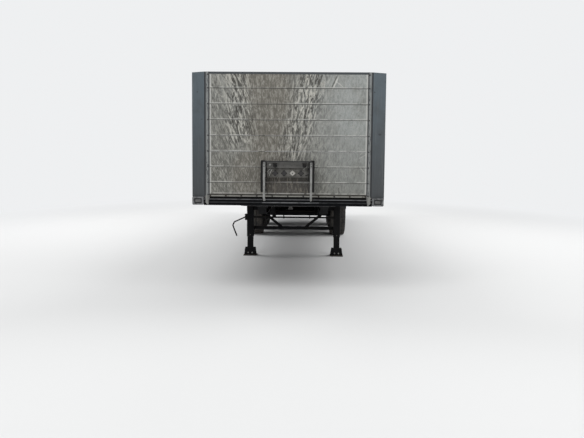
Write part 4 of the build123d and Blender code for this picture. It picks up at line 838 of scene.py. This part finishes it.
class TRAILER_OT_tyres(bpy.types.Operator):
    """Add the tyres: waved grooves, notched shoulders and ringed sidewalls"""

    bl_idname = "trailer.tyres"
    bl_label = "Tyres"

    steps = 96
    groove_places = (-0.105, -0.038, 0.038, 0.105)
    groove_half = 0.006
    groove_slope = 0.0025
    wave = 0.0025
    crown_radius = 0.530
    tread_half = 0.150
    # radii between which the tread's sides lie
    tread_low = 0.505
    tread_high = 0.5245
    # distance from the tyre's middle and radius, from the bead to the shoulder
    half_profile = (
        (0.149, 0.286), (0.149, 0.303), (0.163, 0.314), (0.171, 0.323), (0.1775, 0.329),
        (0.1825, 0.334), (0.1825, 0.341), (0.1865, 0.356), (0.1905, 0.380), (0.1925, 0.402),
        (0.1925, 0.425), (0.1910, 0.428), (0.1905, 0.446), (0.1885, 0.448), (0.1850, 0.472),
        (0.1835, 0.474), (0.1765, 0.502), (0.1675, 0.519), (0.150, 0.526),
    )

    def execute(self, context):
        for wheel in WHEELS:
            name = f"tyre_{wheel}"
            finish = f"tyre_rubber_{wheel}"
            centre = joint_place[f"wheel_turn_{wheel}"]
            tyre_finish(finish, centre)
            made = piece(f"{name}_tread", self.build(centre), finish, f"wheel_body_{wheel}")
            made.data.shade_smooth()
            made.data.set_sharp_from_angle(angle=radians(28))
            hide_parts(name)
        return {"FINISHED"}

    def crown(self, across):
        """Radius of the tread at a distance from its middle."""
        return self.crown_radius - 0.004 * (across / self.tread_half) ** 2

    def profile(self):
        """Points round the tyre's section."""
        points = [(-x, r) for x, r in self.half_profile]
        for place in self.groove_places:
            low, high = both(self.groove_half, place)
            floor = self.crown(place) - sizes().tread_depth
            points += [(low, self.crown(low)), (low + self.groove_slope, floor)]
            points += [(high - self.groove_slope, floor), (high, self.crown(high))]
        return points + list(self.half_profile[::-1])

    def build(self, centre):
        bm = bmesh.new()
        verts = [bm.verts.new(centre + Vector((x, 0, r))) for x, r in self.profile()]
        edges = [bm.edges.new(pair) for pair in zip(verts, verts[1:] + verts[:1])]
        spin(bm, verts + edges, centre, (1, 0, 0), self.steps)
        bmesh.ops.recalc_face_normals(bm, faces=bm.faces[:])
        self.wave_grooves(bm, centre)
        self.notch_shoulders(bm, centre)
        return bm

    def polar(self, place, centre):
        """Distance along the axle, radius, and steps round the wheel of a place."""
        away = place - centre
        flat = Vector((away.y, away.z))
        return away.x, flat.length, flat.angle_signed(Vector((0, 1)), 0.0) / (2 * pi) * self.steps

    def wave_grooves(self, bm, centre):
        """Moves the walls of the grooves to and fro along the axle."""
        shifted = {1: [], -1: []}
        for vert in bm.verts:
            across, radius, turn = self.polar(vert.co, centre)
            near = any(abs(across - place) < self.groove_half + 0.0015 for place in self.groove_places)
            if near and radius > self.tread_low:
                shifted[1 if round(turn) % 4 < 2 else -1].append(vert)
        for way, verts in shifted.items():
            bmesh.ops.translate(bm, verts=verts, vec=(self.wave * way, 0, 0))

    def notch_shoulders(self, bm, centre):
        """Sinks every second face of the shoulders."""
        notched = []
        for face in bm.faces:
            across, radius, turn = self.polar(face.calc_center_median(), centre)
            shoulder = self.tread_low < radius < self.tread_high and abs(across) > self.tread_half
            if shoulder and int(turn + self.steps) % 2:
                notched.append(face)
        bmesh.ops.inset_individual(bm, faces=notched, thickness=0.003, depth=-0.006)


class TRAILER_OT_wheel_fittings(bpy.types.Operator):
    """Add the wheel nuts, the hub cap with its bolts and the valve of each wheel"""

    bl_idname = "trailer.wheel_fittings"
    bl_label = "Wheel nuts and hub caps"

    # distances of the disc's face and of the hub's end from the wheel's middle
    disc_out = 0.118
    hub_out = 0.190
    nuts = 10
    cap_bolts = 8

    def spoke(self, number, count):
        """Direction of one of several places round a wheel."""
        turn = 2 * pi * number / count
        return Vector((0, cos(turn), sin(turn)))

    def execute(self, context):
        for wheel, way in WHEELS.items():
            bm = bmesh.new()
            centre = joint_place[f"wheel_turn_{wheel}"]
            out = Vector((way, 0, 0))
            disc = centre + self.disc_out * out
            hub = centre + self.hub_out * out
            for number in range(self.nuts):
                spoke = self.spoke(number + 0.5, self.nuts)
                add_nut(bm, disc + spoke * sizes().nut_circle, out, 0.0185, 0.026)
            for number in range(self.cap_bolts):
                add_stud(bm, hub + self.spoke(number, self.cap_bolts) * 0.062, out, 0.0075, 0.006)
            add_stud(bm, hub, out, 0.046, 0.007, 32, 0.12)
            add_stud(bm, hub + 0.007 * out, out, 0.017, 0.006, 6, 0.2)
            valve = disc + Vector((-way * 0.004, 0.212 * cos(0.3), 0.212 * sin(0.3)))
            add_stud(bm, valve, (way, 0.25, 0.1), 0.006, 0.045, 8)
            piece(f"wheel_nuts_{wheel}", bm, "bolt_zinc", f"wheel_body_{wheel}")
        return {"FINISHED"}


class TRAILER_OT_headboard_bolts(bpy.types.Operator):
    """Add the bolts of the foot strip and the screws of the post flanges"""

    bl_idname = "trailer.headboard_bolts"
    bl_label = "Headboard bolts"

    def execute(self, context):
        size = sizes()
        bm = bmesh.new()
        count = int(panel_half / size.bolt_pitch)
        row = [number * size.bolt_pitch for number in range(-count, count + 1)]
        foot_top = high_box["wall_foot"].z
        add_studs(bm, row, low_box["wall_foot"].y, foot_top - 0.0195, FRONT, size.bolt_radius, 0.006)
        joints = [wall_low + joint * wall_pitch for joint in range(PLANKS + 1)]
        heights = [min(max(height, wall_low + 0.04), wall_high - 0.03) for height in joints]
        add_studs(bm, both(panel_half + 0.022), wall_front, heights, FRONT, 0.0085, 0.005, 8)
        for height in joints[:-1]:
            middle = height + wall_pitch / 2
            stiffener = high_box["wall_stiffeners"].y
            add_studs(bm, both(0.35), stiffener, both(0.025, middle), REAR, 0.007, 0.005)
            add_studs(bm, both(1.0), high_box["wall_planks"].y, middle, REAR, 0.007, 0.005)
        piece("headboard_bolts", bm, "bolt_dark")
        return {"FINISHED"}


class TRAILER_OT_guard_fittings(bpy.types.Operator):
    """Add the tap lever, the shut-off rod and the bolts of the coupling guard"""

    bl_idname = "trailer.guard_fittings"
    bl_label = "Coupling guard fittings"

    def execute(self, context):
        guard_front = low_box["coupling_guard"].y
        face = guard_front + 0.052
        socket_face = face + 0.025
        near = socket_face - 0.012
        bm = bmesh.new()
        lever = ((-0.205, near, 1.708), (-0.222, near, 1.664), (-0.240, near, 1.618))
        add_rod(bm, lever, 0.0055)
        loop = ((-0.222, near, 1.712), (-0.246, near, 1.690), (-0.262, near, 1.668), (-0.246, near, 1.645))
        add_rod(bm, loop, 0.0035)
        add_stud(bm, (-0.222, socket_face, 1.664), FRONT, 0.009, 0.014, 10)
        add_stud(bm, (-0.229, face, 1.764), FRONT, 0.014, 0.009, 12)
        rod = ((0.207, face - 0.02, 1.703), (0.222, face - 0.026, 1.720), (0.236, face - 0.03, 1.736))
        add_rod(bm, rod, 0.004)
        knob = Matrix.Translation((0.237, face - 0.031, 1.738))
        bmesh.ops.create_icosphere(bm, subdivisions=2, radius=0.0095, matrix=knob)
        piece("guard_levers", bm, "fitting_pale")
        bm = bmesh.new()
        bow = ((0.262, 1.712), (0.276, 1.694), (0.282, 1.670), (0.275, 1.648), (0.256, 1.632), (0.226, 1.624))
        add_rod(bm, [(x, near, z) for x, z in bow], 0.0075)
        add_studs(bm, both(0.304), guard_front, (1.742, 1.775), FRONT, 0.007, 0.006)
        add_studs(bm, both(0.33), wall_front, (1.30, 1.335), FRONT, 0.010, 0.008)
        add_studs(bm, (-0.279, -0.055, 0.055, 0.120, 0.279), face, 1.752, FRONT, 0.0055, 0.005)
        add_studs(bm, both(0.29), socket_face, 1.66, FRONT, 0.006, 0.005)
        piece("guard_bolts", bm, "bolt_dark")
        return {"FINISHED"}


class TRAILER_OT_leg_bolts(bpy.types.Operator):
    """Add the bolts of the landing legs, their feet and the gearbox"""

    bl_idname = "trailer.leg_bolts"
    bl_label = "Landing leg bolts"

    leg_middle = 0.835
    foot_pin = 0.052
    gearbox_middle = 0.74

    def execute(self, context):
        bm = bmesh.new()
        low = low_box["leg_housings"]
        high = high_box["leg_housings"]
        for middle in both(self.leg_middle):
            for across in both(0.039, middle):
                add_nut(bm, (across, low.y + 0.002, self.foot_pin), FRONT, 0.011, 0.012)
                add_nut(bm, (across, high.y - 0.002, self.foot_pin), REAR, 0.011, 0.012)
        plate_rows = (-0.66, -0.612, 0.612, 0.66)
        add_studs(bm, plate_rows, low.y + 0.0145, (0.92, 1.0, 1.08), FRONT, 0.010, 0.009)
        add_studs(bm, both(self.leg_middle), low.y, (0.40, 1.10), FRONT, 0.009, 0.006)
        along = both(0.028, (low.y + high.y) / 2)
        add_studs(bm, low.x - 0.040, along, both(0.045, self.gearbox_middle), (-1, 0, 0), 0.007, 0.006)
        piece("leg_bolts", bm, "bolt_zinc")
        return {"FINISHED"}


class TRAILER_OT_running_gear_bolts(bpy.types.Operator):
    """Add the nuts under the axle clamps and the heads of the hanger bolts"""

    bl_idname = "trailer.running_gear_bolts"
    bl_label = "Running gear bolts"

    beam_middle = 0.575
    clamp_low = 0.4462
    clamp_top = 0.6555
    # place of the hangers' bolts: before the axle, and above the ground
    pivot_ahead = 0.5
    pivot_height = 0.56

    def execute(self, context):
        bm = bmesh.new()
        for axle, beam in product(AXLES, both(self.beam_middle)):
            axle_place = joint_place[f"wheel_turn_l{axle}"].y
            across = both(0.033, beam)
            along = both(0.08, axle_place)
            add_studs(bm, across, along, self.clamp_low, DOWN, 0.018, 0.016)
            add_studs(bm, across, along, self.clamp_top, UP, 0.018, 0.014)
            for way in WAYS:
                pivot = (beam + way * 0.055, axle_place - self.pivot_ahead, self.pivot_height)
                add_stud(bm, pivot, (way, 0, 0), 0.034, 0.012, 6, 0.15)
        piece("running_gear_bolts", bm, "bolt_dark")
        return {"FINISHED"}


class TRAILER_OT_board_fittings(bpy.types.Operator):
    """Add the strap bolts, latch pivots and end rivets of the drop sides and the rear board"""

    bl_idname = "trailer.board_fittings"
    bl_label = "Board fittings"

    board_face = 1.245
    hinge_shares = (0.14, 0.5, 0.86)
    strap_rows = (board_foot + 0.055, board_foot + 0.125)

    def execute(self, context):
        for board, way in BOARDS.items():
            self.side_board(board, way)
        self.rear_board()
        return {"FINISHED"}

    def side_board(self, board, way):
        low = low_box[f"side_board_{board}"].y
        high = high_box[f"side_board_{board}"].y
        face = way * self.board_face
        out = (way, 0, 0)
        bm = bmesh.new()
        for share in self.hinge_shares:
            along = both(0.016, low + share * (high - low))
            add_studs(bm, face + way * 0.006, along, self.strap_rows, out, 0.008, 0.005)
        latches = (low + 0.044, high - 0.044)
        pivots = (board_foot + 0.20, board_foot + 0.48)
        add_studs(bm, face + way * 0.004, latches, pivots, out, 0.009, 0.004, 10)
        for along in latches:
            add_plate(bm, (face + way * 0.008, along, board_foot + 0.415), (0.008, 0.026, 0.075), 0.003)
        rows = [board_foot + (row + 0.5) * BOARD_PITCH / 2 for row in range(6)]
        add_studs(bm, face, (low + 0.010, high - 0.010), rows, out, 0.005, 0.0025, 8, 0.4)
        piece(f"board_fittings_{board}", bm, "bolt_zinc", f"board_{board}")

    def rear_board(self):
        face = high_box["rear_board"].y - 0.025
        half = high_box["rear_board"].x
        bm = bmesh.new()
        for middle in (-0.72 * half, 0.0, 0.72 * half):
            add_studs(bm, both(0.016, middle), face + 0.006, self.strap_rows, REAR, 0.008, 0.005)
        ends = both(half - 0.03)
        add_studs(bm, ends, face + 0.006, both(0.05, board_foot + 0.38), REAR, 0.007, 0.004)
        for across in ends:
            add_plate(bm, (across, face + 0.004, board_foot + 0.38), (0.034, 0.008, 0.17), 0.003)
        piece("board_fittings_rear", bm, "bolt_zinc", "board_rear")


class TRAILER_OT_deck_fittings(bpy.types.Operator):
    """Add the deck screws and the lashing rings along the bed"""

    bl_idname = "trailer.deck_fittings"
    bl_label = "Deck screws and lashing rings"

    members = 27
    screw_places = (-1.05, -0.78, -0.48, -0.16, 0.16, 0.48, 0.78, 1.05)
    rings = 13
    ring_pitch = 0.98

    def execute(self, context):
        size = sizes()
        bm = bmesh.new()
        rows = [behind(size.member_first + number * size.member_pitch) for number in range(self.members)]
        add_studs(bm, self.screw_places, rows, deck_top - 0.001, UP, 0.009, 0.003, 10, 0, 2 / 3)
        piece("deck_screws", bm, "bolt_zinc")
        bm = bmesh.new()
        for side, number in product(WAYS, range(self.rings)):
            along = behind(0.9 + number * self.ring_pitch)
            add_plate(bm, (side * 1.155, along, deck_top + 0.002), (0.07, 0.11, 0.004), 0.001, 1)
            add_ring(bm, (side * 1.150, along, deck_top + 0.010), (side * 0.12, 0, 1), 0.028, 0.0055)
            add_plate(bm, (side * 1.178, along, deck_top + 0.011), (0.016, 0.04, 0.018), 0.004, 1)
            add_studs(bm, side * 1.155, both(0.042, along), deck_top + 0.004, UP, 0.006, 0.003)
        piece("lashing_rings", bm, "bolt_zinc")
        return {"FINISHED"}


class TRAILER_OT_side_markers(bpy.types.Operator):
    """Add the amber marker lamps along the side rails"""

    bl_idname = "trailer.side_markers"
    bl_label = "Side markers"

    distances = (1.05, 3.05, 5.30, 6.55, 8.90, 10.70, 12.35)

    def execute(self, context):
        bases = bmesh.new()
        lenses = bmesh.new()
        height = rail_low + 0.052
        for side, distance in product(WAYS, self.distances):
            along = behind(distance)
            add_plate(bases, (side * (rail_face + 0.002), along, height), (0.008, 0.122, 0.046), 0.003)
            add_plate(lenses, (side * (rail_face + 0.009), along, height), (0.010, 0.096, 0.034), 0.0035, 3)
        piece("side_marker_bases", bases, "guard_plastic")
        piece("side_marker_lenses", lenses, "lens_amber")
        return {"FINISHED"}


class TRAILER_OT_rear_fittings(bpy.types.Operator):
    """Add the blank plate, the plate lamps, the reflectors and the bolts of the tail"""

    bl_idname = "trailer.rear_fittings"
    bl_label = "Tail fittings"

    buffer_middle = 0.575
    reflector_middle = 0.52
    reflector_radius = 0.072

    def execute(self, context):
        web = low_box["lamp_bar"].y + 0.006
        high = high_box["lamp_bar"].z
        middle = (low_box["lamp_bar"].z + high) / 2
        bm = bmesh.new()
        add_plate(bm, (0, web + 0.006, middle), (0.52, 0.004, 0.112), 0.0015)
        piece("blank_plate", bm, "plate_white")
        bm = bmesh.new()
        add_plate(bm, (0, web + 0.002, middle), (0.54, 0.004, 0.128), 0.0015)
        for across in both(0.20):
            add_plate(bm, (across, web + 0.016, high - 0.012), (0.07, 0.032, 0.014), 0.004)
        add_studs(bm, (-1.14, -0.66, -0.36, 0.36, 0.66, 1.14), web, middle + 0.045, REAR, 0.008, 0.006)
        buffer_back = high_box["buffers"].y - 0.028
        for buffer in both(self.buffer_middle):
            add_studs(bm, both(0.036, buffer), buffer_back, (1.19, 1.245), REAR, 0.006, 0.004)
        piece("tail_bolts", bm, "bolt_dark")
        bm = bmesh.new()
        turned = Matrix.Rotation(radians(90), 4, "X") @ Matrix.Rotation(radians(-90), 4, "Z")
        radius = self.reflector_radius
        for across in both(self.reflector_middle):
            place = Matrix.Translation((across, web + 0.006, middle - 0.012)) @ turned
            made = bmesh.ops.create_cone(
                bm, cap_ends=True, segments=3, radius1=radius, radius2=radius, depth=0.008, matrix=place
            )
            bevel(bm, edges_of(made), 0.003, 2)
        piece("rear_reflectors", bm, "lens_red")
        return {"FINISHED"}


class TRAILER_OT_coupling_bolts(bpy.types.Operator):
    """Add the countersunk bolts round the kingpin"""

    bl_idname = "trailer.coupling_bolts"
    bl_label = "Kingpin bolts"

    bolts = 8
    circle = 0.078

    def execute(self, context):
        bm = bmesh.new()
        # the heads start this far inside the plate
        plate = low_box["rubbing_plate"].z + 0.0003
        for number in range(self.bolts):
            turn = 2 * pi * (number + 0.5) / self.bolts
            place = (kingpin.x + self.circle * cos(turn), kingpin.y + self.circle * sin(turn), plate)
            add_stud(bm, place, DOWN, 0.009, 0.0018, 12, 0, 0.793)
        piece("kingpin_bolts", bm, "pin_steel")
        return {"FINISHED"}


class TRAILER_OT_stage(bpy.types.Operator):
    """Add the floor, the lights, the world and the camera"""

    bl_idname = "trailer.stage"
    bl_label = "Stage"

    pale = (0.86, 0.87, 0.88)

    def execute(self, context):
        self.floor()
        self.lights()
        self.world()
        self.camera()
        return {"FINISHED"}

    def floor(self):
        """Pale floor that fades into the background far away."""
        f = Finish("floor_pale")
        f.feed(f.shader, {"Base Color": (0.62, 0.62, 0.615), "Roughness": 0.9})
        distance = f.maths("SQRT", f.x * f.x + f.y * f.y * 0.35)
        glow = f.node("Emission", {"Color": self.pale, "Strength": 1.0})
        lit = Signal(f, f.shader.outputs[0])
        f.show("Material Output", f.step(distance, 5.5, 11.5) * f.seen(), lit, glow)
        bm = bmesh.new()
        bmesh.ops.create_grid(bm, x_segments=1, y_segments=1, size=90)
        made = add_mesh("floor", bm, "floor_pale")

    def lights(self):
        front = wall_front
        # name, place, aims at, size, watts
        for name, place, target, size, watts in (
            ("key", (-4.0, front - 8.0, 10.0), (0, front, 1.8), 8.0, 800),
            ("fill", (6.5, front - 6.0, 7.0), (0, front, 1.8), 7.0, 330),
            ("left", (10.0, 0.0, 11.0), (0, 0.0, 1.2), 10.0, 1150),
            ("right", (-10.0, 2.0, 11.0), (0, 2.0, 1.2), 10.0, 1150),
            ("rear", (0.0, 15.0, 9.0), (0, 7.0, 1.2), 8.0, 750),
        ):
            lamp = bpy.data.lights.new(name, "AREA")
            lamp.shape = "DISK"
            lamp.size = size
            lamp.energy = watts
            holder = add_object(name, lamp)
            holder.location = place
            holder.rotation_mode = "QUATERNION"
            holder.rotation_quaternion = (Vector(target) - Vector(place)).to_track_quat("-Z", "Y")

    def world(self):
        """Soft light on the object, a pale background for the camera, for gloss and through glass."""
        world = bpy.data.worlds.new("studio")
        world.use_nodes = True
        tree = Tree(world.node_tree)
        soft = tree.node("Background", {"Color": (0.95, 0.97, 1.0), "Strength": 0.46})
        shown = tree.node("Background", {"Color": self.pale})
        tree.show("World Output", tree.seen(), soft, shown)
        bpy.context.scene.world = world

    def camera(self):
        size = sizes()
        picture_width = 584
        down, left, roll = 0.0845, 0.0222, 0.0086
        forward = Vector((-sin(left) * cos(down), cos(left) * cos(down), -sin(down)))
        level = Vector((cos(left), sin(left), 0))
        upright = level.cross(forward)
        right = cos(roll) * level + sin(roll) * upright
        up = cos(roll) * upright - sin(roll) * level
        data = bpy.data.cameras.new("photo_camera")
        data.sensor_width = 36
        data.lens = size.camera_focal * data.sensor_width / picture_width
        data.clip_end = 300
        holder = add_object("photo_camera", data)
        turn = Matrix((right, up, -forward)).transposed().to_4x4()
        place = (size.camera_across, wall_front - size.camera_distance, size.camera_height)
        holder.matrix_world = Matrix.Translation(place) @ turn
        bpy.context.scene.camera = holder
        bpy.context.scene.view_settings.view_transform = "Standard"


class TRAILER_PT_panel(bpy.types.Panel):
    bl_label = "Trailer"
    bl_space_type = "VIEW_3D"
    bl_region_type = "UI"
    bl_category = "Trailer"

    def draw(self, context):
        for operator in OPERATORS:
            self.layout.operator(operator.bl_idname)
        for group in (context.scene.trailer_look, context.scene.trailer_sizes):
            for name in group.__annotations__:
                self.layout.prop(group, name)


OPERATORS = (
    TRAILER_OT_materials,
    TRAILER_OT_tyres,
    TRAILER_OT_wheel_fittings,
    TRAILER_OT_headboard_bolts,
    TRAILER_OT_guard_fittings,
    TRAILER_OT_leg_bolts,
    TRAILER_OT_running_gear_bolts,
    TRAILER_OT_board_fittings,
    TRAILER_OT_deck_fittings,
    TRAILER_OT_side_markers,
    TRAILER_OT_rear_fittings,
    TRAILER_OT_coupling_bolts,
    TRAILER_OT_stage,
)
CLASSES = (TrailerLook, TrailerSizes, *OPERATORS, TRAILER_PT_panel)


def register():
    for made in CLASSES:
        bpy.utils.register_class(made)
    bpy.types.Scene.trailer_look = bpy.props.PointerProperty(type=TrailerLook)
    bpy.types.Scene.trailer_sizes = bpy.props.PointerProperty(type=TrailerSizes)


def unregister():
    del bpy.types.Scene.trailer_sizes
    del bpy.types.Scene.trailer_look
    for made in reversed(CLASSES):
        bpy.utils.unregister_class(made)


def main():
    register()
    for operator in OPERATORS:
        family, name = operator.bl_idname.split(".")
        getattr(getattr(bpy.ops, family), name)()


if __name__ == "__main__":
    main()
